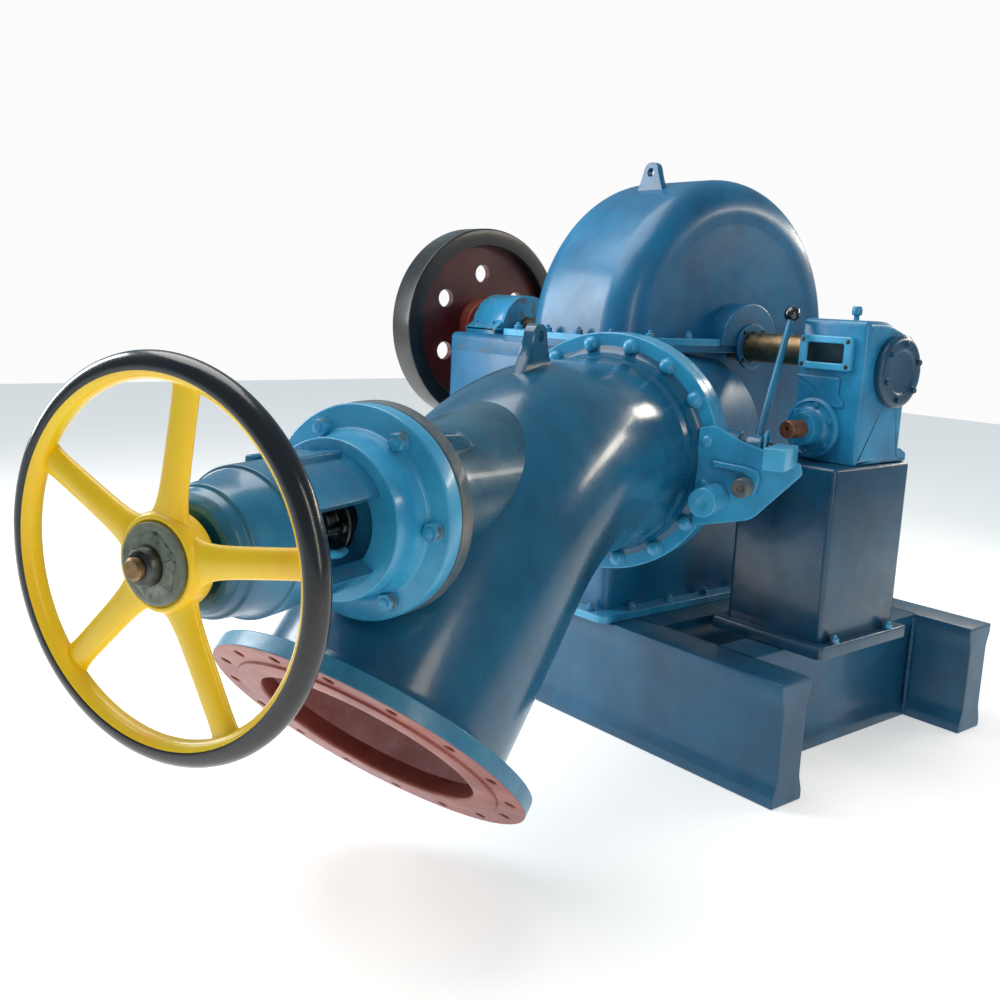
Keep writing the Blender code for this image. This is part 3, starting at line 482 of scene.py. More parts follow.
def paintLook(name, dark, light, gloss=(0.2, 0.38), coat=0.5, wear=0.6, wearColour=(92, 84, 74), dust=0.25,
        dustColour=(150, 160, 158), size=1.0, lumps=0.5):
    # two tones of paint in clouds, dust, and edges chipped through both
    look, tree, shader = startLook(name)
    paint = useGroup(tree, brushedPaint, Size=size, Gloss_Low=gloss[0], Gloss_High=gloss[1], Lumps=lumps)
    colour = mixColours(tree, paint.outputs["Tone"], linear(*dark), linear(*light))
    colour = laidOver(tree, settledDust, dust, size, colour, dustColour)
    colour = laidOver(tree, edgeWear, wear, size, colour, wearColour)
    shader.inputs["Coat Roughness"].default_value = 0.12
    return finished(look, tree, shader, paint, colour, coat, 0.5, 0.0016)


def metalLook(name, dark, light, gloss=(0.22, 0.45), metallic=1.0, size=1.0):
    # stained metal with a fine relief
    look, tree, shader = startLook(name)
    grain = useGroup(tree, metalGrain, Size=size, Gloss_Low=gloss[0], Gloss_High=gloss[1], Pits=0.4)
    colour = mixColours(tree, grain.outputs["Tone"], linear(*dark), linear(*light))
    colour = laidOver(tree, settledDust, 0.1, size, colour, (120, 112, 100))
    shader.inputs["Metallic"].default_value = metallic
    return finished(look, tree, shader, grain, colour, 0.0, 0.6, 0.0006)


looks = {
    "casing": paintLook("peacockPaint", (6, 78, 116), (16, 110, 154), gloss=(0.28, 0.42), coat=0.15, dust=0.12,
        dustColour=(110, 150, 165)),
    "elbow": paintLook("elbowPaint", (6, 70, 100), (14, 98, 134), gloss=(0.18, 0.3), coat=0.35, wear=0.3, dust=0.1,
        dustColour=(96, 128, 136)),
    "housing": paintLook("housingPaint", (18, 102, 144), (38, 140, 186), gloss=(0.26, 0.42), coat=0.2, size=1.8,
        wear=0.8, dust=0.15),
    "light": paintLook("lightBluePaint", (22, 124, 170), (52, 160, 204), gloss=(0.24, 0.42), coat=0.35, size=1.6,
        wear=0.8, dust=0.15),
    "flange": paintLook("flangePaint", (30, 130, 176), (66, 170, 212), gloss=(0.24, 0.42), coat=0.35, size=1.4,
        wear=0.9, dust=0.15),
    "yoke": paintLook("yokePaint", (10, 84, 122), (28, 122, 162), gloss=(0.22, 0.4), coat=0.35, size=1.4, wear=0.8,
        dust=0.12),
    "frame": paintLook("framePaint", (8, 66, 96), (16, 92, 128), gloss=(0.3, 0.5), coat=0.2, wear=0.0, dust=0.25,
        dustColour=(110, 140, 150)),
    "neck": paintLook("neckPaint", (8, 62, 88), (30, 92, 116), gloss=(0.25, 0.5), coat=0.3, wear=0.5, dust=0.2,
        dustColour=(96, 110, 96), size=2.0),
    "flangeEdge": paintLook("flangeEdgePaint", (30, 104, 140), (64, 136, 164), gloss=(0.3, 0.5), coat=0.2, wear=0.7,
        dust=0.2, dustColour=(110, 140, 140), size=2.0),
    "weathered": paintLook("weatheredPaint", (24, 64, 84), (118, 112, 102), gloss=(0.35, 0.6), coat=0.15, size=3.0),
    "yellow": paintLook("yellowPaint", (255, 198, 0), (255, 218, 10), gloss=(0.26, 0.4), coat=0.25, wear=0.5,
        wearColour=(150, 110, 30), dust=0.12, size=1.6),
    "rim": paintLook("blackEnamel", (6, 7, 10), (18, 19, 24), gloss=(0.14, 0.3), coat=0.4, wear=0.5,
        wearColour=(120, 104, 80), dust=0.04, size=1.8),
    "wheelRim": paintLook("blackIron", (12, 12, 13), (30, 28, 28), gloss=(0.3, 0.5), coat=0.3, wear=0.4),
    "wheelWeb": paintLook("redOxideWeb", (74, 16, 14), (112, 34, 26), gloss=(0.35, 0.55), coat=0.2, wear=0.3,
        dustColour=(140, 96, 84)),
    # wheelHub: the web's red paint made lighter, painted light on the raised hub that catches the light
    "wheelHub": paintLook("redHubPaintedLight", (120, 44, 34), (150, 66, 52), gloss=(0.35, 0.55), coat=0.2),
    "oxide": paintLook("redOxidePaint", (122, 50, 42), (164, 82, 70), gloss=(0.4, 0.6), coat=0.15, wear=0.7,
        wearColour=(60, 44, 38), dustColour=(176, 120, 112), size=1.8),
    # bore: the red oxide primer inside the pipe, made much paler than the oxide face: real primer with painted light
    # in the bore
    "bore": paintLook("oxideBorePaintedLight", (156, 96, 92), (204, 156, 154), gloss=(0.45, 0.65), coat=0.1, wear=0.1,
        dustColour=(200, 164, 160), size=1.2),
    "plate": paintLook("flakedPlatePaint", (74, 84, 72), (132, 138, 122), gloss=(0.4, 0.6), coat=0.1, size=5.0,
        wear=1.0, wearColour=(46, 52, 46)),
    # cover: a darker copy of the housing's teal, painted shade for the end cover on the housing's right side and for
    # the stand under the housing
    "cover": paintLook("coverPaintedShadeTeal", (6, 50, 74), (14, 76, 108), gloss=(0.25, 0.45), coat=0.3, size=1.4, dust=0.1,
        dustColour=(70, 110, 126)),
    "steel": metalLook("tanSteel", (120, 92, 62), (176, 150, 116), gloss=(0.25, 0.45)),
    "darkSteel": metalLook("oiledSteel", (38, 40, 42), (92, 94, 92), gloss=(0.25, 0.5), size=2.0),
    "copper": metalLook("rustedFace", (96, 58, 40), (158, 104, 78), gloss=(0.35, 0.6), metallic=0.6, size=2.0),
    "bronze": metalLook("castBronze", (138, 92, 44), (214, 168, 104), gloss=(0.22, 0.42), size=1.4),
    "inner": metalLook("wetIron", (60, 52, 46), (110, 100, 92), gloss=(0.35, 0.6), metallic=0.7),
    "knob": paintLook("blackKnob", (8, 8, 9), (16, 16, 18), gloss=(0.08, 0.16), coat=0.8, wear=0.0, dust=0.05,
        lumps=0.1),
}
glassLook, tree, shader = startLook("sightGlass")
shader.inputs["Base Color"].default_value = linear(24, 40, 46)
shader.inputs["Transmission Weight"].default_value = 0.4
film = noiseValue(tree, addNode(tree, "ShaderNodeTexCoord").outputs["Object"], 40.0, 4.0)
tree.links.new(mapRange(tree, film, 0.3, 0.7, 0.05, 0.2), shader.inputs["Roughness"])
looks["glass"] = glassLook
print("stage 3:", len(looks), "finishes")


# Hood: a half drum with wide rounded rims, a soft step round each side face and a flange with bolts

# pieces that touch keep this much air between them; the casing's halves stand off their joint by half of it
hairline = 0.0003
lift = hairline / 2
hoodSizes = {"low": -0.226, "high": 0.124, "radius": 0.403, "rounding": 0.075, "wall": 0.012, "bandStep": 0.004,
    "bandRadius": 0.314, "flangeReach": 0.042, "flangeHeight": 0.016, "bossRadius": 0.106, "bossOut": 0.05,
    "bore": 0.042, "lugAt": -0.15}


def hoodSkin(sizes, inner):
    # the drum's cross profile: a flat side face, a soft step, a rounded rim, the crown, and the same back,
    # carried over the half circle from front to back
    wall = sizes["wall"] if inner else 0
    low, high = sizes["low"] + wall, sizes["high"] - wall
    radius, rounding = sizes["radius"] - wall, sizes["rounding"] - wall
    step = 0 if inner else sizes["bandStep"]
    turn = np.linspace(0, math.pi / 2, 13)
    band = sizes["bandRadius"]
    hub = sizes["bore"]
    ease = np.linspace(0, 1, 7)
    blend = ease * ease * (3 - 2 * ease)
    highFace = np.stack([np.concatenate([[hub, 0.15, band - 0.05], band - 0.02 + 0.03 * ease]),
        high - np.concatenate([[step, step, step], step * (1 - blend)])], 1)
    highRim = np.stack([radius - rounding + rounding * np.sin(turn), high - rounding + rounding * np.cos(turn)], 1)
    lowRim = np.stack([radius - rounding + rounding * np.cos(turn), low + rounding - rounding * np.sin(turn)], 1)
    lowFace = (highFace * (1, -1) + (0, low + high))[::-1]
    profile = np.concatenate([highFace, highRim, lowRim, lowFace])
    angle = np.linspace(0, math.pi, 97)
    radii, stations = profile[:, :1], profile[:, 1:]
    return np.stack([stations + 0 * angle, radii * -np.cos(angle), radii * np.sin(angle)], -1)


def flangeOutline(sizes, reach):
    middle = (sizes["low"] + sizes["high"]) / 2
    width = sizes["high"] - sizes["low"]
    return rectangle(width + 2 * reach, 2 * (sizes["radius"] + reach), 0.035, (middle, 0), 6)


def plateRing(outer, inner, low, high):
    # a flat ring between two closed outlines of equal count, standing between two heights
    rows = [(outer, low), (outer, high), (inner, high), (inner, low)]
    points = np.stack([np.concatenate([outline, np.full((len(outline), 1), height)], 1) for outline, height in rows])
    return surface(points, True, True)


outerSkin, innerSkin = hoodSkin(hoodSizes, False), hoodSkin(hoodSizes, True)
hoodShell = surface(np.concatenate([outerSkin, innerSkin[::-1]]), wrapRows=True)
hoodEdge = [surface(np.stack([outerSkin[:, column], innerSkin[:, column]])) for column in (0, -1)]
flangeRims = flangeOutline(hoodSizes, hoodSizes["flangeReach"]), flangeOutline(hoodSizes, -hoodSizes["wall"])
hoodFlange = plateRing(*flangeRims, lift, hoodSizes["flangeHeight"])
boss = []
for side, face in ((1, hoodSizes["high"]), (-1, hoodSizes["low"])):
    bore, rim = hoodSizes["bore"], hoodSizes["bossRadius"]
    back, out = face - side * hoodSizes["wall"], face + side * hoodSizes["bossOut"]
    boss.append(turnedPart(eased([(bore, back), (rim, back), (rim, out), (bore, out)], [0, 0, 0.006, 0.002], 4), "X",
        36, 0, 180))
lugOutline = eased([(-0.075, -0.045), (0.07, -0.045), (0.03, 0.06), (0.02, 0.094), (-0.02, 0.094), (-0.032, 0.05)],
    [0.01, 0.02, 0.03, 0.02, 0.02, 0.03], 6, True)


def eyedPlate(outline, eye, radius, low, high, axis="Y", edge=0.002):
    # a flat plate with one round eye: rays from the eye's middle join the rim of the eye to the outline
    outline = np.asarray(outline, float)
    away = outline - eye
    angles = np.unwrap(np.arctan2(away[:, 1], away[:, 0]))
    if angles[-1] < angles[0]:
        outline, angles = outline[::-1], np.unwrap(np.arctan2(away[::-1, 1], away[::-1, 0]))
    ring = np.stack([eye[0] + radius * np.cos(angles), eye[1] + radius * np.sin(angles)], 1)
    centre = np.asarray(eye, float)
    drawn = outline + (centre - outline) / np.linalg.norm(centre - outline, axis=1)[:, None] * edge
    rows = [(ring, low), (drawn, low), (outline, low + edge), (outline, high - edge), (drawn, high), (ring, high)]
    points = np.stack([np.concatenate([line, np.full((len(line), 1), z)], 1) for line, z in rows])
    return surface(points[..., axisOrder[axis]], True, True)


hoodMiddle = (hoodSizes["low"] + hoodSizes["high"]) / 2
lugPlace = shiftBy(hoodMiddle, hoodSizes["lugAt"], 0.3425)
hoodLug = carried(eyedPlate(lugOutline, (0, 0.07), 0.011, -0.009, 0.009, "Y"), lugPlace)


def flangeSpots(firstX, lastX, height):
    # bolt places round the casing's flange: four along each short side, then six along each long one
    sizes = flangeBolting
    sides = hoodSizes["low"] - sizes["outside"], hoodSizes["high"] + sizes["outside"]
    short = [(x, y) for x in np.linspace(firstX, lastX, 4) for y in (-sizes["shortAt"], sizes["shortAt"])]
    long = [(x, y) for x in sides for y in np.linspace(-sizes["longTo"], sizes["longTo"], 6)]
    return [shiftBy(x, y, height) for x, y in short + long]


flangeBolting = {"outside": 0.021, "shortAt": 0.424, "longTo": 0.33, "firstIn": 0.01}
standingBolt = {"across": 0.019, "height": 0.011, "stud": 0.006}
upBolt = carried(hexBolt(axis="Z", **standingBolt), turnAbout("X", 180))
firstX, lastX = hoodSizes["low"] + flangeBolting["firstIn"], hoodSizes["high"] - flangeBolting["firstIn"]
flangeBolts = copiesAt(upBolt, flangeSpots(firstX, lastX, hoodSizes["flangeHeight"]))
makePiece("hoodShell", {"casing": [hoodShell, *hoodEdge, *boss, hoodLug]}, "casing_hood")
makePiece("hoodFlange", {"flange": [hoodFlange]}, "casing_hood", bevel=0.0015)
makePiece("hoodFlangeBolts", {"light": [flangeBolts]}, "casing_hood")


# Lower casing: a hollow box open at the bottom, its flanges and the round nozzle housing

boxSizes = {"foot": -0.65, "footFlange": 0.018, "upperFlange": 0.016, "wall": 0.012, "jointAt": -0.52,
    "housingRadius": 0.215}
jointSizes = {"outer": 0.261, "thick": 0.036, "boltCircle": 0.237, "hole": 0.0095, "bolts": 16, "firstBolt": 11.25}
outerBox = rectangle(0.35, 0.806, 0.03, (hoodMiddle, 0), 6)
innerBox = rectangle(0.326, 0.782, 0.02, (hoodMiddle, 0), 6)
casingWalls = plateRing(outerBox, innerBox, boxSizes["foot"], -lift)
upperFlange = plateRing(*flangeRims, -boxSizes["upperFlange"], -lift)
footFlange = plateRing(*flangeRims, boxSizes["foot"], boxSizes["foot"] + boxSizes["footFlange"])


def jointFlange(inner, start):
    # one of the two drilled flanges that meet at the joint
    sizes = jointSizes
    return drilledRing(inner, sizes["outer"], sizes["boltCircle"], sizes["hole"], sizes["bolts"], start,
        start + sizes["thick"], sizes["firstBolt"])


start = boxSizes["jointAt"] + hairline
jointRing = jointFlange(boxSizes["housingRadius"] - boxSizes["wall"], start)
housing = turned(eased([(0.203, start), (0.203, -0.1), (0.215, -0.1), (0.215, start + 0.05), (0.226, start + 0.034),
    (0.226, start + 0.02)], [0, 0, 0, 0.02, 0, 0], 6), "Y", 96, closed=True)
pivotBoss = carried(turned(eased([(0.0135, -0.05), (0.036, -0.05), (0.036, 0.02), (0.032, 0.05), (0.0135, 0.05)],
    [0, 0.004, 0.01, 0.003, 0], 3), "X", 40, closed=True), shiftBy(0.215, -0.415, 0.027))
makePiece("casingWalls", {"casing": [casingWalls]}, "casing_lower", bevel=0.001)
makePiece("casingFlanges", {"casing": [upperFlange], "flange": [footFlange]}, "casing_lower", bevel=0.0015)
makePiece("nozzleHousing", {"casing": [housing, pivotBoss]}, "casing_lower", place=jetPlace)
makePiece("jointFlange", {"light": [jointRing]}, "casing_lower", place=jetPlace, bevel=0.0015)
footBolts = copiesAt(upBolt, flangeSpots(-0.2, 0.1, boxSizes["foot"] + boxSizes["footFlange"]))
makePiece("casingFootBolts", {"light": [footBolts]}, "casing_lower")
print("stage 4: casing done")


# Elbow: circles carried along a straight, a bend and a leg, widening towards the inlet

elbowSizes = {"jointAt": -0.52, "corner": -0.987, "bend": 47.0, "bendRadius": 0.40, "leg": 0.557, "outlet": 0.205,
    "inlet": 0.223, "wall": 0.014, "inletFlange": 0.290, "inletThick": 0.032, "neck": 0.118, "branchFace": -1.4337,
    "branchFlange": 0.030, "branchRim": 0.1655}
# where the pipe's wall meets its flanges: how far in each fillet starts and its size, and a worn step near the joint
rootSizes = {"outletFrom": 0.034, "outletSize": 0.03, "inletFrom": 0.031, "inletSize": 0.026, "stepAt": 0.082,
    "step": 0.007, "stepWidth": 0.004}


def elbowCircles(sizes, distance, radius, angle):
    # a point at each distance along the route and each angle round it: the route's own point, plus radius
    # times cosine across the bend's plane and sine outwards in it
    bend = math.radians(sizes["bend"])
    tangent = sizes["bendRadius"] * math.tan(bend / 2)
    straight = sizes["jointAt"] - (sizes["corner"] + tangent)
    curved = sizes["bendRadius"] * bend
    turn = np.clip((distance - straight) / sizes["bendRadius"], 0, bend)
    before = np.minimum(distance, straight)
    after = np.maximum(distance - straight - curved, 0)
    along = sizes["jointAt"] - before - sizes["bendRadius"] * np.sin(turn) - after * math.cos(bend)
    height = -sizes["bendRadius"] * (1 - np.cos(turn)) - after * math.sin(bend)
    out = np.stack([0 * turn, -np.sin(turn), np.cos(turn)], -1)
    centre = np.stack([0 * turn, along, height], -1)
    ring = np.cos(angle)[None, :, None] * np.array([1.0, 0, 0]) + np.sin(angle)[None, :, None] * out[:, None]
    return centre[:, None] + radius[:, None, None] * ring


bendAngle = math.radians(elbowSizes["bend"])
routeLength = (elbowSizes["jointAt"] - elbowSizes["corner"] - elbowSizes["bendRadius"] * math.tan(bendAngle / 2)
    + elbowSizes["bendRadius"] * bendAngle + elbowSizes["leg"] - elbowSizes["bendRadius"] * math.tan(bendAngle / 2))
pipeEnd = routeLength - 0.012
distance = np.concatenate([np.linspace(0, 0.12, 25), np.linspace(0.12, pipeEnd - 0.09, 70)[1:],
    np.linspace(pipeEnd - 0.09, pipeEnd, 18)[1:]])
share = distance / routeLength
wide = elbowSizes["outlet"] + (elbowSizes["inlet"] - elbowSizes["outlet"]) * share * share * (3 - 2 * share)


def fillet(away, size):
    # how far a quarter-round fillet of that size stands out at a distance from the wall it meets
    return size * (1 - np.sqrt(1 - np.clip(1 - away / size, 0, 1) ** 2))


fromInlet = routeLength - rootSizes["inletFrom"] - distance
fromOutlet = distance - rootSizes["outletFrom"]
outward = wide + fillet(fromOutlet, rootSizes["outletSize"]) * (fromOutlet >= 0)
outward = outward + fillet(fromInlet, rootSizes["inletSize"]) * (fromInlet >= 0)
outward = outward + rootSizes["step"] / (1 + np.exp((distance - rootSizes["stepAt"]) / rootSizes["stepWidth"]))
roundAngle = 2 * math.pi * np.arange(128) / 128
outerPipe = elbowCircles(elbowSizes, distance, outward, roundAngle)
innerPipe = elbowCircles(elbowSizes, distance, wide - elbowSizes["wall"], roundAngle)
pipeBody, pipeBore = surface(outerPipe, wrapColumns=True), surface(innerPipe, wrapColumns=True)
pipeEnds = [surface(np.stack([outerPipe[row], innerPipe[row]]), wrapColumns=True) for row in (0, -1)]
outletRing = jointFlange(0.196, elbowSizes["jointAt"] - jointSizes["thick"])
# the bore and the inlet end take the pale oxide, painted light inside the pipe
makePiece("elbowPipe", {"elbow": [pipeBody, pipeEnds[0]], "bore": [pipeBore, pipeEnds[1]]}, "elbow", place=elbowPlace)
makePiece("outletFlange", {"light": [outletRing]}, "elbow", place=jetPlace, bevel=0.003)
nutPlaces = ringPlaces(jointSizes["boltCircle"], jointSizes["bolts"], elbowSizes["jointAt"] - jointSizes["thick"],
    jointSizes["firstBolt"])
makePiece("outletNuts", {"light": [copiesAt(domeNut(0.0155, 0.016), nutPlaces)]}, "elbow", place=jetPlace)

# inlet flange: a drilled rim, blue on its edge and back, and a raised face of red oxide round the open bore
legEnd = np.array([0, elbowSizes["corner"], 0]) - elbowSizes["leg"] * np.array([0, math.cos(bendAngle),
    math.sin(bendAngle)])
inletPlace = elbowPlace @ shiftBy(*legEnd) @ turnAbout("X", elbowSizes["bend"])
inletRing = drilledRing(0.2395, elbowSizes["inletFlange"], 0.264, 0.0095, 16, 0.0035, elbowSizes["inletThick"], 12.5)
raisedFace = turnedSoft([(0.2093, 0.036), (0.2, 0.014), (0.197, 0.004), (0.199, 0), (0.2392, 0), (0.2405, 0.0045),
    (0.2405, 0.0315), (0.2145, 0.0315)], [0, 0.004, 0.002, 0.002, 0.001, 0.001, 0, 0], 3, "Y", 144, True)
ringCorners, ringQuads = inletRing
onEdge = (np.hypot(ringCorners[:, 0], ringCorners[:, 2]) > elbowSizes["inletFlange"] - 0.001)[ringQuads].all(1)
blue = onEdge | (ringCorners[:, 1] > elbowSizes["inletThick"] - 0.0005)[ringQuads].all(1)
makePiece("inletFlange", {"flangeEdge": [(ringCorners, ringQuads[blue])], "oxide": [(ringCorners, ringQuads[~blue])]},
    "elbow", place=inletPlace, bevel=0.002)
makePiece("inletFace", {"oxide": [raisedFace]}, "elbow", place=inletPlace)


def neckSkin(sizes):
    # the branch's radius along the jet: a small fillet against its flange, then it flares into the bend's wall
    face = sizes["branchFace"] + sizes["branchFlange"]
    station = np.linspace(face - 0.01, sizes["corner"] - 0.05, 44)[:, None]
    angle = 2 * math.pi * np.arange(96) / 96
    flare = np.clip((station + 1.31) / 0.25, 0, 1)
    radius = sizes["neck"] + fillet(np.maximum(station - face, 0), 0.018) + 0.036 * flare ** 2 + 0 * angle
    return np.stack([radius * np.cos(angle), station + 0 * angle, radius * np.sin(angle)], -1)


face, back = elbowSizes["branchFace"], elbowSizes["branchFace"] + elbowSizes["branchFlange"]
branchLine = [(0.08, face), (elbowSizes["branchRim"], face), (elbowSizes["branchRim"], back),
    (elbowSizes["neck"], back), (elbowSizes["neck"], -1.385), (0.08, -1.385)]
branchFlange = turnedSoft(branchLine, [0, 0.003, 0.004, 0, 0, 0], 4, "Y", 96, True)
makePiece("branchNeck", {"neck": [surface(neckSkin(elbowSizes), wrapColumns=True)]}, "elbow", place=elbowPlace)
makePiece("branchFlange", {"weathered": [branchFlange]}, "elbow", place=elbowPlace)
gussetShape = softSlab(eased([(0.10, -1.4045), (0.10, -1.235), (0.118, -1.262), (0.152, -1.325), (0.16, -1.4045)],
    [0, 0.004, 0.02, 0.03, 0.001], 4, True), -0.007, 0.007, 0.003, "Z")
makePiece("neckGussets", {"elbow": [copiesAt(gussetShape, [turnAbout("Y", -angle) for angle in (58, 122)])]}, "elbow",
    place=elbowPlace)
lugShape = eyedPlate(eased([(-0.085, -0.05), (0.075, -0.05), (0.03, 0.03), (0.024, 0.074), (-0.024, 0.074),
    (-0.034, 0.03)], [0.01, 0.02, 0.03, 0.024, 0.024, 0.03], 6, True), (0, 0.05), 0.012, -0.012, 0.012, "X")
makePiece("elbowLug", {"elbow": [lugShape]}, "elbow", place=jetPlace @ shiftBy(0, -0.915, 0.205))
print("stage 5: elbow done")


# Bonnet and yoke

yokeSizes = {"face": -1.468, "back": -1.434, "radius": 0.164, "boss": 0.120, "bossEnd": -1.535, "tube": 0.102,
    "bore": 0.076, "windowLow": -1.683, "windowHigh": -1.537, "upperArm": (28, 124), "lowerArm": (218, 104)}


def bonnetProfile(sizes):
    # radius and station of the plate with its boss, down to the room for the packing
    face, boss, inside = sizes["face"], sizes["boss"], sizes["windowHigh"] + 0.03
    corners = [(0.031, sizes["back"]), (sizes["radius"], sizes["back"]), (sizes["radius"], face),
        (boss + 0.008, face), (boss, face - 0.02), (boss, sizes["bossEnd"]), (sizes["bore"], sizes["bossEnd"]),
        (sizes["bore"], inside), (0.031, inside)]
    return eased(corners, [0, 0.003, 0.004, 0.005, 0.006, 0.003, 0.002, 0, 0], 4, True)


def yokeArm(start, sweep, sizes):
    # one arm: the tube's wall between two angles, from the bonnet's boss to the nose
    near, far = sizes["windowHigh"] + 0.01, sizes["windowLow"] - 0.005
    return turnedPart(np.array([(sizes["bore"], near), (sizes["tube"], near), (sizes["tube"], far),
        (sizes["bore"], far)]), "Y", 40, start, sweep)


upperArm, lowerArm = (yokeArm(*yokeSizes[arm], yokeSizes) for arm in ("upperArm", "lowerArm"))
nose = turnedSoft([(0.031, -1.678), (0.102, -1.678), (0.102, -1.722), (0.097, -1.7225), (0.0905, -1.745),
    (0.086, -1.786), (0.081, -1.788), (0.0775, -1.8), (0.068, -1.81), (0.058, -1.8105), (0.056, -1.803),
    (0.031, -1.803)], [0, 0, 0.0025, 0.003, 0.014, 0.0025, 0.002, 0.003, 0.003, 0.002, 0.001, 0], 5, "Y", 128, True)
makePiece("bonnetPlate", {"flange": [turned(bonnetProfile(yokeSizes), "Y", 128, closed=True)]}, "yoke",
    jetPlace)
makePiece("yokeArms", {"yoke": [upperArm, lowerArm]}, "yoke", jetPlace, bevel=0.0015)
makePiece("yokeNose", {"yoke": [nose]}, "yoke", jetPlace)
# two low cheeks along the top hold the pointer's slide between them
cheeks = joined(softBlock((0.016, -1.66, 0.085), (0.032, -1.545, 0.1065), 0.006, 0.003, "Z"),
    softBlock((-0.046, -1.66, 0.08), (-0.034, -1.545, 0.1035), 0.004, 0.003, "Z"),
    softBlock((-0.030, -1.64, 0.09), (0.012, -1.56, 0.1035), 0.004, 0.002, "Z"))
makePiece("yokeSlide", {"yoke": [cheeks]}, "yoke", jetPlace)
bonnetBolts = copiesAt(hexBolt(0.0255, 0.015, "Y", stud=0.004), ringPlaces(0.1385, 6, yokeSizes["face"], -3.0))
makePiece("bonnetBolts", {"flange": [bonnetBolts]}, "yoke", jetPlace)
# gland inside the yoke: a flanged collar with two studs and their nuts, and a lever that reaches out of the window
glandBody = turnedSoft([(0.0155, -1.507), (0.0297, -1.507), (0.0297, -1.5395), (0.052, -1.5395), (0.052, -1.553),
    (0.034, -1.555), (0.031, -1.575), (0.0155, -1.575)], [0, 0, 0, 0.002, 0.003, 0.002, 0.004,
    0.001], 3, "Y", 64, True)
glandNuts = copiesAt(hexBolt(0.017, 0.010, "Y", stud=0.03), [shiftBy(side * 0.041, -1.553, 0) for side in (-1, 1)])
makePiece("glandCollar", {"darkSteel": [glandBody, glandNuts]}, "gland", jetPlace)
glandLever = rod(eased([(0.045, -1.557, -0.034), (0.06, -1.59, -0.030), (0.078, -1.64, -0.018)], 0.01, 5), 0.0065, 14)
makePiece("glandLever", {"flange": [glandLever]}, "yoke", jetPlace)
print("stage 6: bonnet and yoke done")


# Handwheel and its spindle

wheelSizes = {"at": -1.855, "radius": 0.25, "rim": 0.017, "spokes": 5, "hub": 0.062, "front": -0.006,
    "spokePlane": 0.008, "firstSpoke": 80, "spokeHalf": 0.02, "spokeDeep": 0.0125, "hubSwell": 0.015,
    "rimSwell": 0.010}
wheelPlace = jetPlace @ shiftBy(0, wheelSizes["at"], 0)


def rimHalf(sizes, low, high):
    # part of the rim's round section, between two angles about its own middle, carried round the wheel
    section = np.radians(np.linspace(low, high, 15))[:, None]
    spin = 2 * math.pi * np.arange(144) / 144
    radius = sizes["radius"] - sizes["rim"] + sizes["rim"] * np.cos(section) + 0 * spin
    return surface(np.stack([radius * np.cos(spin), sizes["rim"] * np.sin(section) + 0 * spin, radius * np.sin(spin)],
        -1), wrapColumns=True)


outerHalf, innerHalf = rimHalf(wheelSizes, -112, 100), rimHalf(wheelSizes, 100, 248)
makePiece("wheelRim", {"rim": [outerHalf], "yellow": [innerHalf]}, "handwheel_rim", wheelPlace,
    body="handwheel")


def spoke(sizes):
    # an oval bar from hub to rim that swells where it meets them
    reach = np.linspace(sizes["hub"] - 0.014, sizes["radius"] - sizes["rim"] - 0.004, 36)
    share = (reach - reach[0]) / (reach[-1] - reach[0])
    swell = sizes["hubSwell"] * np.exp(-share * 11) + sizes["rimSwell"] * np.exp(-(1 - share) * 20)
    half = (sizes["spokeHalf"] - 0.0020 * share + swell)[:, None]
    deep = (sizes["spokeDeep"] - 0.0015 * share)[:, None]
    angle = 2 * math.pi * np.arange(32) / 32
    points = np.stack([reach[:, None] + 0 * angle, sizes["spokePlane"] + deep * np.sin(angle), half * np.cos(angle)],
        -1)
    return capped(points)


spokes = copiesAt(spoke(wheelSizes), [turnAbout("Y", -wheelSizes["firstSpoke"] - 360 / wheelSizes["spokes"] * number)
    for number in range(wheelSizes["spokes"])])
hub = turnedSoft([(0.0303, 0.036), (0.052, 0.036), (0.06, 0.03), (0.063, 0.008), (0.062, -0.002), (0.0575, -0.0085),
    (0.0535, -0.0085), (0.0515, -0.006), (0.0303, -0.006)], [0, 0.004, 0.008, 0.01, 0.003, 0.003, 0.001, 0.001,
    0], 4, "Y", 96, True)
makePiece("wheelSpider", {"yellow": [spokes, hub]}, "handwheel_spider", wheelPlace, body="handwheel")
front = wheelSizes["front"]
hubPlate = turnedSoft([(0.0145, front - hairline), (0.0505, front - hairline), (0.0505, front - 0.0065),
    (0.046, front - 0.0083), (0.0145, front - 0.0083)], [0, 0.001, 0.0015, 0.002, 0], 3, "Y", 80, True)
# a raised hexagon with sloping flats lies on the plate
hexFlats = slab(hexOutline(0.074, 18), [front - 0.006, front - 0.0095, front - 0.0135], [0, 0, 0.009])
makePiece("hubPlate", {"plate": [hubPlate, hexFlats]}, "hub_plate", wheelPlace, body="handwheel")
nutShape = turnedSoft([(0.0143, front - 0.0125), (0.0245, front - 0.0125), (0.0245, front - 0.019),
    (0.021, front - 0.028), (0.0143, front - 0.030)], [0, 0, 0.003, 0.003, 0.001], 3, "Y", 48, True)
makePiece("spindleNut", {"darkSteel": [nutShape]}, "spindle_nut", wheelPlace, body="handwheel")
print("stage 7: handwheel done")


# Left stand and its split bearing

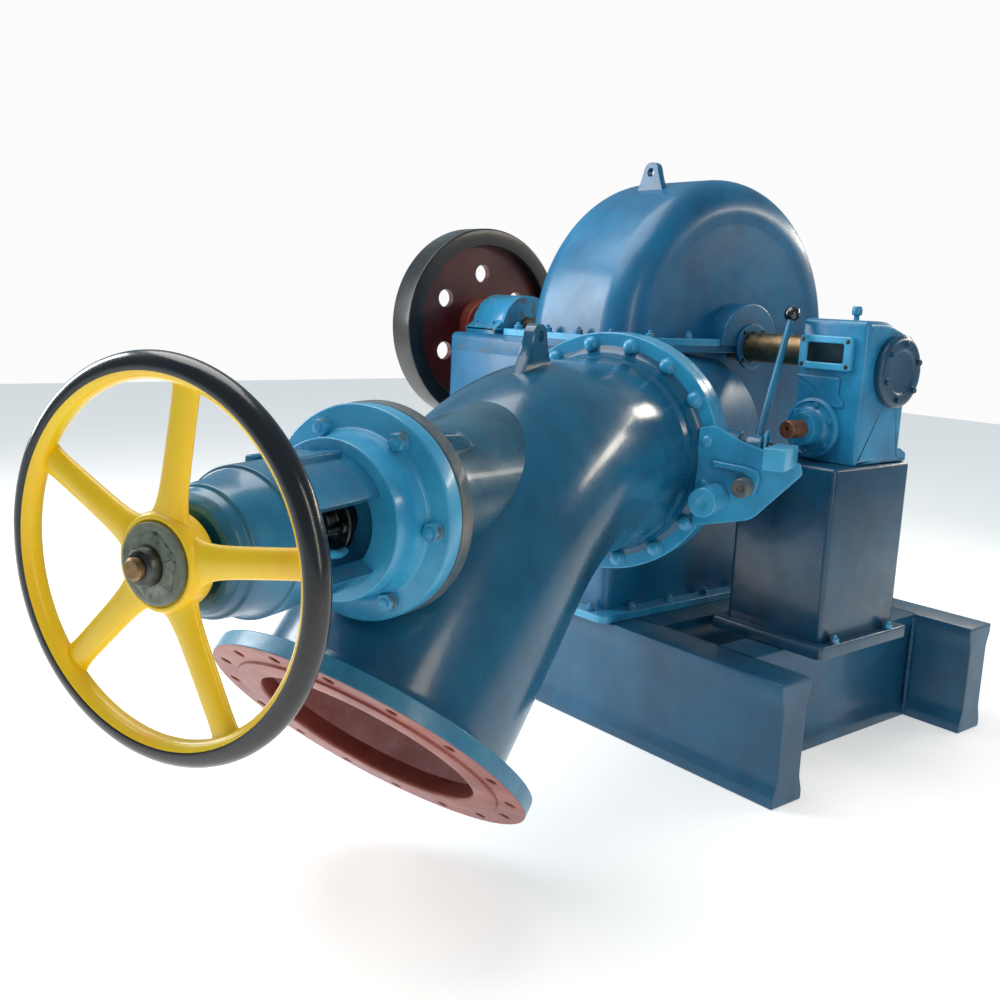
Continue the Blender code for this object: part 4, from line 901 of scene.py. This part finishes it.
standSizes = {"low": -0.793, "high": -0.38, "half": 0.21, "foot": -0.6497, "top": -0.0155, "seat": -0.05,
    "slot": 0.1303, "round": 0.014}
low, high, half, foot, top, seat, slot, rounding = standSizes.values()
inside, root = half - hairline, seat - 0.02
standOutline = eased([(-inside, foot), (inside, foot), (inside, seat), (-inside, seat)], [0.004, 0.004, 0.001, 0.001],
    3, True)
standBody = softSlab(standOutline, low, high, rounding, "X", 5)
cheekShapes = []
for side in (-1, 1):
    corners = [(side * half, root), (side * half, top), (side * slot, top), (side * slot, root)]
    cheekShapes.append(softSlab(eased(corners, [0, 0.02, 0.005, 0], 6, True), low - 0.0002, high + 0.0002, rounding,
        "X", 5))
makePiece("leftStand", {"casing": [standBody, joined(*cheekShapes)]}, "left_stand")


def bearingBody(half, crown, foot, low, high, edge):
    # a bearing's section across the shaft, a crown arc over square shoulders, carried along the shaft
    arc = np.radians(np.linspace(14, 166, 40))
    top = np.stack([crown * np.cos(arc), crown * np.sin(arc)], 1)
    corners = np.concatenate([[(-half, foot), (half, foot), (half, 0.0)], top, [(-half, 0.0)]])
    return softSlab(corners, low, high, edge, "X", 3)


bearingCap = bearingBody(0.13, 0.0995, -0.0497, -0.822, -0.679, 0.005)
capRims = copiesAt(turnedPart(np.array([(0.037, -0.006), (0.1, -0.006), (0.1, 0.006), (0.037, 0.006)]), "X", 40, 0,
    180), [shiftBy(x, 0, 0) for x in (-0.819, -0.682)])
capFlange = joined(softBlock((-0.825, -0.13, -0.008), (-0.676, -0.088, 0.0), 0.004, 0.002, "Z"),
    softBlock((-0.825, 0.088, -0.008), (-0.676, 0.13, 0.0), 0.004, 0.002, "Z"))
capBolt = carried(hexBolt(0.022, 0.013, "Z", stud=0.008), turnAbout("X", 180))
capBolts = copiesAt(capBolt, [shiftBy(x, y, 0.0) for x in (-0.79, -0.71) for y in (-0.113, 0.113)])
makePiece("leftBearing", {"light": [bearingCap, capRims, capFlange, capBolts]}, "left_bearing")


# Right stand, housing and its fittings

rightSizes = {"low": 0.405, "high": 0.575, "front": -0.117, "foot": -0.235, "top": 0.078, "window": (0.481, 0.005),
    "cover": (0.463, -0.163), "end": -0.03, "cup": (0.516, -0.075)}


def housingBody(sizes):
    # the housing's section across the shaft carried along it, with a low ledge at the foot
    front, foot, top = sizes["front"], sizes["foot"], sizes["top"]
    section = eased([(front, foot), (0.056, foot), (0.056, -0.09), (0.085, -0.045), (0.085, 0.03), (0.06, 0.05),
        (-0.035, top), (front, top)], [0.01, 0.01, 0.012, 0.02, 0.03, 0.03, 0.03, 0.014], 5, True)
    ledge = eased([(front + 0.0004, foot + hairline), (0.088, foot + hairline), (0.088, foot + 0.02),
        (0.056, foot + 0.035), (front + 0.0004, foot + 0.02)], [0.002, 0.004, 0.005, 0.006, 0], 3, True)
    return joined(softSlab(section, sizes["low"], sizes["high"], 0.012, "X", 5),
        softSlab(ledge, sizes["low"] + 0.0005, sizes["high"] - 0.0005, 0.006, "X", 3))


def faceUp(shape, x, z, front):
    # a shape drawn in X and Y with its height as Z, stood on the housing's front
    return carried(shape, shiftBy(x, front, z) @ turnAbout("X", 90))


shaftNeck = turnedSoft([(0.0366, 0.41), (0.062, 0.41), (0.062, 0.378), (0.056, 0.37), (0.0366, 0.37)],
    [0, 0, 0.004, 0.003, 0.001], 3, "X", 64, True)
windowX, windowZ = rightSizes["window"]
frontFace = rightSizes["front"] - hairline
frameRing = faceUp(plateRing(rectangle(0.134, 0.074, 0.01, steps=5), rectangle(0.0944, 0.0424, 0.006, steps=5), 0,
    0.014), windowX, windowZ, frontFace)
screwHead = turnedSoft([(0, -0.0155), (0.0045, -0.0155), (0.0055, -0.014), (0.0055, -0.012)], [0, 0.001, 0, 0], 2,
    "Y", 14)
frameScrews = copiesAt(screwHead, [shiftBy(windowX + x, frontFace, windowZ + z) for x in (-0.057, 0.057)
    for z in (-0.027, 0.027)])
makePiece("rightHousing", {"housing": [housingBody(rightSizes), shaftNeck]}, "right_housing")
makePiece("windowFrame", {"flange": [frameRing]}, "window_frame", bevel=0.003)
makePiece("windowScrews", {"darkSteel": [frameScrews]}, "window_frame")
padOutline = eased([(0.404, -0.046), (0.52, -0.046), (0.517, -0.085), (0.5355, -0.1), (0.53, -0.112), (0.42, -0.112),
    (0.424, -0.078)], [0.004, 0.006, 0.008, 0.006, 0.01, 0.008, 0.01], 4, True)
padShape = carried(softSlab(padOutline, 0, 0.006, 0.003, "Z"),
    shiftBy(0, rightSizes["front"] + 0.0005, 0) @ turnAbout("X", 90))
makePiece("frontPad", {"housing": [padShape]}, "right_housing")
coverX, coverZ = rightSizes["cover"]
coverPlace = machinePlace @ shiftBy(coverX, frontFace, coverZ)
coverShape = turnedSoft([(0, 0), (0.068, 0), (0.068, -0.012), (0.060, -0.0155), (0.058, -0.0125), (0.044, -0.014),
    (0.038, -0.022), (0.036, -0.05), (0.0205, -0.05), (0, -0.0498)], [0, 0.001, 0.003, 0.002, 0.002, 0.006, 0.006,
    0.002, 0, 0], 4, "Y", 80)
coverBolts = copiesAt(hexBolt(0.011, 0.006, "Y"), ringPlaces(0.0525, 6, -0.0125, 20.0))
makePiece("roundCover", {"housing": [coverShape, coverBolts]}, "round_cover", coverPlace)
stubShape = turnedSoft([(0, -0.0503), (0.02, -0.0503), (0.02, -0.098), (0.018, -0.1003), (0.005, -0.1003),
    (0.003, -0.094), (0, -0.094)], [0, 0, 0.001, 0.001, 0.001, 0, 0], 2, "Y", 48)
makePiece("stubShaft", {"copper": [stubShape]}, "stub_shaft", coverPlace)
endPlace = machinePlace @ shiftBy(rightSizes["high"] + hairline, 0, rightSizes["end"])
endShape = turnedSoft([(0, 0), (0.08, 0), (0.08, 0.014), (0.072, 0.02), (0.05, 0.02), (0.046, 0.0165), (0, 0.0165)],
    [0, 0.001, 0.004, 0.005, 0.002, 0.002, 0], 4, "X", 80)
endBolts = copiesAt(carried(hexBolt(0.013, 0.007, "X"), turnAbout("Z", 180)), ringPlaces(0.062, 6, 0.0198, 20.0, "X"))
# the end cover takes the darker teal of painted shade
makePiece("endCover", {"cover": [endShape, endBolts]}, "end_cover", place=endPlace)
cupShape = turnedSoft([(0, hairline), (0.006, hairline), (0.006, 0.010), (0.011, 0.012), (0.011, 0.0245),
    (0.009, 0.03), (0.004, 0.03), (0, 0.027)], [0, 0, 0.001, 0.001, 0.003, 0.002, 0.001, 0], 3, "Z", 28)
makePiece("oilCup", {"light": [cupShape]}, "oil_cup",
    machinePlace @ shiftBy(*rightSizes["cup"], rightSizes["top"]))
rightStandShape = softBlock((0.33, -0.20, -0.6497), (0.585, 0.09, -0.2353), 0.012, 0.008, "Z")
rightBase = softBlock((0.305, -0.225, -0.6495), (0.61, 0.115, -0.62), 0.012, 0.004, "Z")
baseBolts = copiesAt(upBolt, [shiftBy(x, y, -0.62) for x in (0.3175, 0.5975) for y in (-0.16, 0.05)])
# the stand takes the darker teal of painted shade; its bolts are the plain light blue paint
makePiece("rightStand", {"cover": [rightStandShape, rightBase], "flange": [baseBolts]}, "right_stand")
print("stage 8: bearings done")


# Flywheel

rimShape = turnedSoft([(0.252, -0.879), (0.303, -0.879), (0.303, -0.971), (0.252, -0.971)], 0.005, 4, "X", 128, True)
webRing = drilledRing(0.07, 0.256, 0.163, 0.028, 6, -0.936, -0.914, 30.0, "X", 6)
flyHub = turnedSoft([(0.0363, -0.879), (0.078, -0.879), (0.086, -0.914), (0.086, -0.936), (0.078, -0.971),
    (0.0363, -0.971)], [0, 0.006, 0.01, 0.01, 0.006, 0], 4, "X", 72, True)
# the hub's lighter red is painted light over the same red paint as the web
makePiece("flywheelDisc", {"wheelRim": [rimShape], "wheelWeb": [webRing], "wheelHub": [flyHub]}, "flywheel",
    body="rotor")


# Bracket on the joint flange, with its guide block, stop and link

bracketFace = -0.5663
bracketOutline = eased([(0.215, 0.075), (0.246, 0.084), (0.305, 0.055), (0.43, 0.022), (0.436, 0.0), (0.34, -0.105),
    (0.215, -0.135)], [0.004, 0.012, 0.02, 0.008, 0.008, 0.016, 0.006], 5, True)
bracketPlate = softSlab(bracketOutline, bracketFace, bracketFace + 0.01, 0.002)
guideBlock = softBlock((0.3805, bracketFace - 0.1003, 0.016), (0.4245, bracketFace - hairline, 0.0595), 0.003, 0.002,
    "Y")
stopShape = carried(turnedSoft([(0, 0), (0.030, 0), (0.030, -0.088), (0.028, -0.09), (0.012, -0.09), (0.010, -0.089),
    (0, -0.089)], [0, 0, 0.002, 0.001, 0.001, 0, 0], 3, "Y", 56), shiftBy(0.262, bracketFace - hairline, -0.066))
linkShape = carried(turnedSoft([(0, 0), (0.02, 0), (0.02, -0.043), (0.018, -0.045), (0.009, -0.045), (0.008, -0.04),
    (0, -0.04)], [0, 0, 0.002, 0.001, 0.001, 0, 0], 3, "Y", 40), shiftBy(0.325, bracketFace - hairline, -0.035))
barOutline = eased([(0.252, 0.011), (0.318, 0.006), (0.352, -0.002), (0.354, -0.018), (0.346, -0.05), (0.336, -0.05),
    (0.338, -0.02), (0.318, -0.008), (0.254, -0.003)], [0.004, 0.01, 0.008, 0.006, 0.004, 0.004, 0.006, 0.01,
    0.004], 4, True)
barShape = softSlab(barOutline, bracketFace - 0.012, bracketFace + 0.001, 0.003)
makePiece("bracketPlate", {"light": [bracketPlate, barShape]}, "bracket_plate", jetPlace)
makePiece("guideBlock", {"flange": [guideBlock]}, "guide_block", jetPlace)
makePiece("stopCylinder", {"flange": [stopShape]}, "stop_cylinder", jetPlace)
makePiece("linkBoss", {"weathered": [linkShape]}, "link_boss", jetPlace)
print("stage 9: flywheel and bracket done")


# Lever: a rod with a ball on its end, its hub on the pivot, an oval eye round its foot

pivotPlace = jetPlace @ shiftBy(0, -0.415, 0.027)
leverSizes = {"hubLow": 0.278, "hubHigh": 0.312, "knob": (0.315, 0.13, 0.289), "ball": 0.018, "rod": 0.0085}
leverFoot, leverTip = np.array([0.295, 0.0, 0.0]), np.array(leverSizes["knob"])
leverWay = (leverTip - leverFoot) / np.linalg.norm(leverTip - leverFoot)
leverLength = np.linalg.norm(leverTip - leverFoot)
reach = np.linspace(0.016, leverLength - 0.016, 30)
leverRod = rod(leverFoot + reach[:, None] * leverWay, leverSizes["rod"] - 0.0015 * (reach / leverLength) ** 2, 20)
# the ball's radius at each distance from its middle is the root of its radius squared less that distance squared
away = leverSizes["ball"] * np.sin(np.linspace(-1.2, math.pi / 2, 22))
ballRadius = np.sqrt(np.maximum(leverSizes["ball"] ** 2 - away ** 2, 1e-10))
leverBall = rod(leverTip + away[:, None] * leverWay, ballRadius, 28)
hubShape = turnedSoft([(0.0129, leverSizes["hubLow"]), (0.027, leverSizes["hubLow"]), (0.027, leverSizes["hubHigh"]),
    (0.0129, leverSizes["hubHigh"])], [0.001, 0.003, 0.003, 0.001], 3, "X", 48, True)
loop = 2 * math.pi * np.arange(48) / 48
eyeSizes = {"middle": (0.318, 0.004, 0.006), "wide": 0.019, "tall": 0.030, "wire": 0.0038}
eyeLine = eyeSizes["middle"] + np.stack([0 * loop, eyeSizes["wide"] * np.cos(loop), eyeSizes["tall"] * np.sin(loop)],
    1)
eyeLoop = rod(eyeLine, eyeSizes["wire"], 12, True)
makePiece("leverArm", {"yoke": [leverRod, hubShape], "flange": [eyeLoop]}, "deflector_lever",
    pivotPlace, body="lever")
makePiece("leverBall", {"knob": [leverBall]}, "lever_knob", pivotPlace, body="lever")
pinShape = turnedSoft([(0, 0.118), (0.0125, 0.118), (0.0125, 0.330), (0.0115, 0.332), (0, 0.332)],
    [0, 0.001, 0.0005, 0.0005, 0], 2, "X", 32)
pinNut = slab(hexOutline(0.022, 10), [0.3185, 0.327, 0.329], [0, 0, 0.002], "X")
makePiece("leverPin", {"darkSteel": [pinShape, pinNut]}, "deflector_pivot", pivotPlace, body="lever")


# Shaft, seal collars and the cast wheel inside the casing

shaftShape = turnedSoft([(0, -0.989), (0.008, -0.991), (0.033, -0.991), (0.036, -0.988), (0.036, 0.552),
    (0.033, 0.555), (0.008, 0.555), (0, 0.553)], [0, 0.001, 0.0005, 0.0005, 0.0005, 0.0005, 0.001, 0], 2, "X", 96)
makePiece("shaftBar", {"steel": [shaftShape]}, "shaft", body="rotor")
for label, face, side in (("Left", -0.276, -1), ("Right", 0.174, 1)):
    ringLine = eased([(0.037, face - side * 0.02), (0.0417, face - side * 0.02), (0.0417, face + side * hairline),
        (0.056, face + side * hairline), (0.056, face + side * 0.009), (0.037, face + side * 0.009)], [0, 0, 0, 0.001,
        0.002, 0.002], 3, True)
    collar = turned(ringLine, "X", 64, closed=True)
    head = carried(hexBolt(0.009, 0.005, "X"), turnAbout("Z", 180 if side > 0 else 0))
    heads = copiesAt(head, ringPlaces(0.0485, 4, face + side * 0.009, 45.0, "X"))
    makePiece("sealCollar" + label, {"casing": [collar], "darkSteel": [heads]}, "seal_ring_" + label.lower())

runnerSizes = {"low": -0.12, "high": -0.01, "radius": 0.30, "hub": 0.092, "buckets": 22, "halfWidth": 0.0473}


def bucket(sizes, turn):
    # a spoon: its middle line leans as it goes out, by 0.30 sin(pi t) less 0.42 t squared; across the width it
    # is dished by the square of the width's share, and its edges thin out along a half ellipse
    t = np.linspace(0, 1, 26)[:, None]
    around = 2 * math.pi * np.arange(28) / 28
    across = np.cos(around)
    radius = sizes["hub"] - 0.008 + (sizes["radius"] - 0.006 - sizes["hub"] + 0.008) * t + 0 * across
    lean = turn + 0.30 * np.sin(math.pi * t) - 0.42 * t * t
    dish = (0.05 + 0.11 * t) * (across ** 2 - 0.4) + 0.05 * across
    thick = (0.0032 + 0.0030 * np.sin(math.pi * t)) * np.sin(around)
    phi = lean + dish + thick / radius
    middle = (sizes["low"] + sizes["high"]) / 2
    x = middle + sizes["halfWidth"] * across * (0.80 + 0.20 * np.sin(math.pi * np.clip(t * 1.15, 0, 1)))
    return np.stack([x, radius * np.sin(phi), -radius * np.cos(phi)], -1)


bucketShapes = []
for number in range(runnerSizes["buckets"]):
    blade = bucket(runnerSizes, 2 * math.pi * number / runnerSizes["buckets"])
    bucketShapes.append(capped(blade))
runnerHub = turnedSoft([(0.0363, 0.002), (0.06, 0.002), (0.062, -0.004), (0.077, -0.004), (0.092, -0.02),
    (0.092, -0.11), (0.072, -0.12), (0.0363, -0.12)], [0.001, 0.003, 0.002, 0.006, 0.01, 0.01, 0.006,
    0.001], 4, "X", 96, True)
runnerBand = turnedSoft([(0.288, -0.045), (0.30, -0.045), (0.30, -0.10), (0.288, -0.10)],
    [0.002, 0.003, 0.003, 0.002], 3, "X", 128, True)
makePiece("runnerCasting", {"bronze": [*bucketShapes, runnerHub, runnerBand]}, "runner", body="rotor")
print("stage 10: lever and rotor done")


# Base frame: rolled beams with a shallow channel between tapered flanges, and weld beads where they meet

beamSizes = {"low": -0.86, "high": 0.66, "half": 0.42, "wide": 0.10, "top": -0.6503, "floor": -0.92, "recess": 0.011}


def beamSection(sizes):
    # half the width out at the flanges, drawn in by the recess between them
    half, tall, web = sizes["wide"] / 2, (sizes["top"] - sizes["floor"]) / 2, sizes["wide"] / 2 - sizes["recess"]
    quarter = [(half, -tall), (half, -tall * 0.84), (web, -tall * 0.60), (web, tall * 0.60), (half, tall * 0.84),
        (half, tall)]
    outline = quarter + [(-x, z) for x, z in quarter[::-1]]
    return eased(outline, [0.004, 0.006, 0.012, 0.012, 0.006, 0.004] * 2, 4, True) + (0,
        (sizes["top"] + sizes["floor"]) / 2)


section = beamSection(beamSizes)
longBeam = softSlab(section, beamSizes["low"], beamSizes["high"], 0.003, "X", 2)
inner = beamSizes["half"] - beamSizes["wide"]
crossBeam = softSlab(section, -inner + hairline - 0.012, inner - hairline + 0.012, 0.003, "Y", 2)
ripple = np.linspace(0, 0.26, 60)
beadSizes = {"radius": 0.0045, "ripple": 0.0009, "pitch": 0.012}
beadUp = rod(np.stack([0 * ripple, 0 * ripple, beamSizes["floor"] + 0.004 + ripple], 1),
    beadSizes["radius"] + beadSizes["ripple"] * np.sin(ripple * 2 * math.pi / beadSizes["pitch"]), 8)
for label, side in (("Front", -1), ("Back", 1)):
    shape = carried(longBeam, shiftBy(0, side * (beamSizes["half"] - beamSizes["wide"] / 2), 0))
    makePiece("baseBeam" + label, {"frame": [shape]}, "frame_beam_" + label.lower())
for number, x in enumerate((-0.74, -0.29, 0.19, 0.46), 1):
    beads = copiesAt(beadUp, [shiftBy(x + side * 0.05, along * (inner - 0.001), 0) for side in (-1, 1)
        for along in (-1, 1)])
    makePiece("crossBeam" + str(number), {"frame": [carried(crossBeam, shiftBy(x, 0, 0)), beads]},
        "frame_cross_beam_" + str(number))
print("stage 11: base frame done")


# Carried-over solids keep their shape and take a finish

finishOf = {"nozzle": "inner", "needle_rod": "steel", "stem_nut": "darkSteel", "window_glass": "glass",
    "deflector": "inner"}
for nodeName, look in finishOf.items():
    item = nodes[nodeName]
    item.data.materials.clear()
    item.data.materials.append(looks[look])

# Camera, floor and light
cameraSizes = {"yaw": -50.653, "pitch": -10.5115, "roll": 2.5619, "lens": 39.6, "sensor": 36.0,
    "fromShaft": (1.9225, -2.212, 0.0965)}
yaw, pitch, roll = (math.radians(cameraSizes[turn]) for turn in ("yaw", "pitch", "roll"))
ahead = Vector((math.sin(yaw) * math.cos(pitch), math.cos(yaw) * math.cos(pitch), math.sin(pitch)))
levelRight = Vector((math.cos(yaw), -math.sin(yaw), 0))
levelUp = levelRight.cross(ahead)
right = levelRight * math.cos(roll) + levelUp * math.sin(roll)
upwards = levelUp * math.cos(roll) - levelRight * math.sin(roll)
cameraData = bpy.data.cameras.new("photoCamera")
cameraData.lens, cameraData.sensor_width = cameraSizes["lens"], cameraSizes["sensor"]
camera = bpy.data.objects.new("photoCamera", cameraData)
bpy.context.scene.collection.objects.link(camera)
eye = Vector(machinePlace[:3, 3]) + Vector(cameraSizes["fromShaft"])
camera.matrix_world = Matrix((right, upwards, -ahead)).transposed().to_4x4()
camera.location = eye
bpy.context.scene.camera = camera

floorSizes = {"half": 9, "lines": 13, "level": -0.0005, "glow": 0.46}
floorMesh = bpy.data.meshes.new("floor")
spread = np.linspace(-floorSizes["half"], floorSizes["half"], floorSizes["lines"])
gridX, gridY = np.meshgrid(spread, spread)
floorPoints = np.stack([gridX, gridY, 0 * gridX + floorSizes["level"]], -1)
floorCorners, floorQuads = surface(floorPoints)
floorMesh.from_pydata(floorCorners.tolist(), [], floorQuads.tolist())
floorItem = bpy.data.objects.new("floor", floorMesh)
bpy.context.scene.collection.objects.link(floorItem)
floorLook, tree, shader = startLook("paleFloor")
shade = noiseValue(tree, addNode(tree, "ShaderNodeTexCoord").outputs["Object"], 1.5, 3.0)
tree.links.new(mixColours(tree, shade, linear(240, 239, 236), linear(247, 246, 243)), shader.inputs["Base Color"])
shader.inputs["Roughness"].default_value = 0.8
shader.inputs["Emission Color"].default_value = (1.0, 0.97, 0.94, 1.0)
shader.inputs["Emission Strength"].default_value = floorSizes["glow"]
floorMesh.materials.append(floorLook)

lights = {
    "topSoft": {"at": (-0.6, -0.6, 3.4), "towards": (0.0, 0.2, 0.7), "size": (2.6, 2.6), "power": 80,
        "colour": (1.0, 0.98, 0.95)},
    "leftSoft": {"at": (-2.6, -2.0, 1.9), "towards": (0.0, 0.0, 0.7), "size": (1.4, 2.2), "power": 85,
        "colour": (0.94, 0.98, 1.0)},
    "rightWarm": {"at": (3.2, -0.6, 1.5), "towards": (0.3, 0.2, 0.6), "size": (0.5, 1.8), "power": 14,
        "colour": (1.0, 0.88, 0.7)},
    "backWarm": {"at": (1.0, 3.0, 1.75), "towards": (0.55, -0.2, 0.75), "size": (2.8, 0.25), "power": 26,
        "colour": (1.0, 0.9, 0.75)},
}
for label, lamp in lights.items():
    data = bpy.data.lights.new(label, "AREA")
    data.shape = "RECTANGLE"
    data.size, data.size_y = lamp["size"]
    data.energy, data.color = lamp["power"], lamp["colour"]
    item = bpy.data.objects.new(label, data)
    bpy.context.scene.collection.objects.link(item)
    item.location = lamp["at"]
    item.rotation_euler = (Vector(lamp["towards"]) - Vector(lamp["at"])).to_track_quat("-Z", "Y").to_euler()
# what the world gives as light is bluer and weaker than the pale wall that the camera sees
world = bpy.data.worlds.new("studio")
bpy.context.scene.world = world
world.use_nodes = True
sky = world.node_tree
soft = sky.nodes["Background"]
soft.inputs["Color"].default_value = (0.62, 0.84, 1.0, 1.0)
soft.inputs["Strength"].default_value = 0.34
pale = addNode(sky, "ShaderNodeBackground", (), {"Color": (0.97, 0.97, 0.97, 1.0), "Strength": 1.0})
seen = addNode(sky, "ShaderNodeLightPath").outputs["Is Camera Ray"]
blend = addNode(sky, "ShaderNodeMixShader", {0: seen, 1: soft.outputs[0], 2: pale.outputs[0]})
sky.links.new(blend.outputs[0], sky.nodes["World Output"].inputs["Surface"])
bpy.context.scene.view_settings.view_transform = "Standard"
print("last stage:", len(pieceLog), "pieces with", sum(count for name, count in pieceLog), "faces")
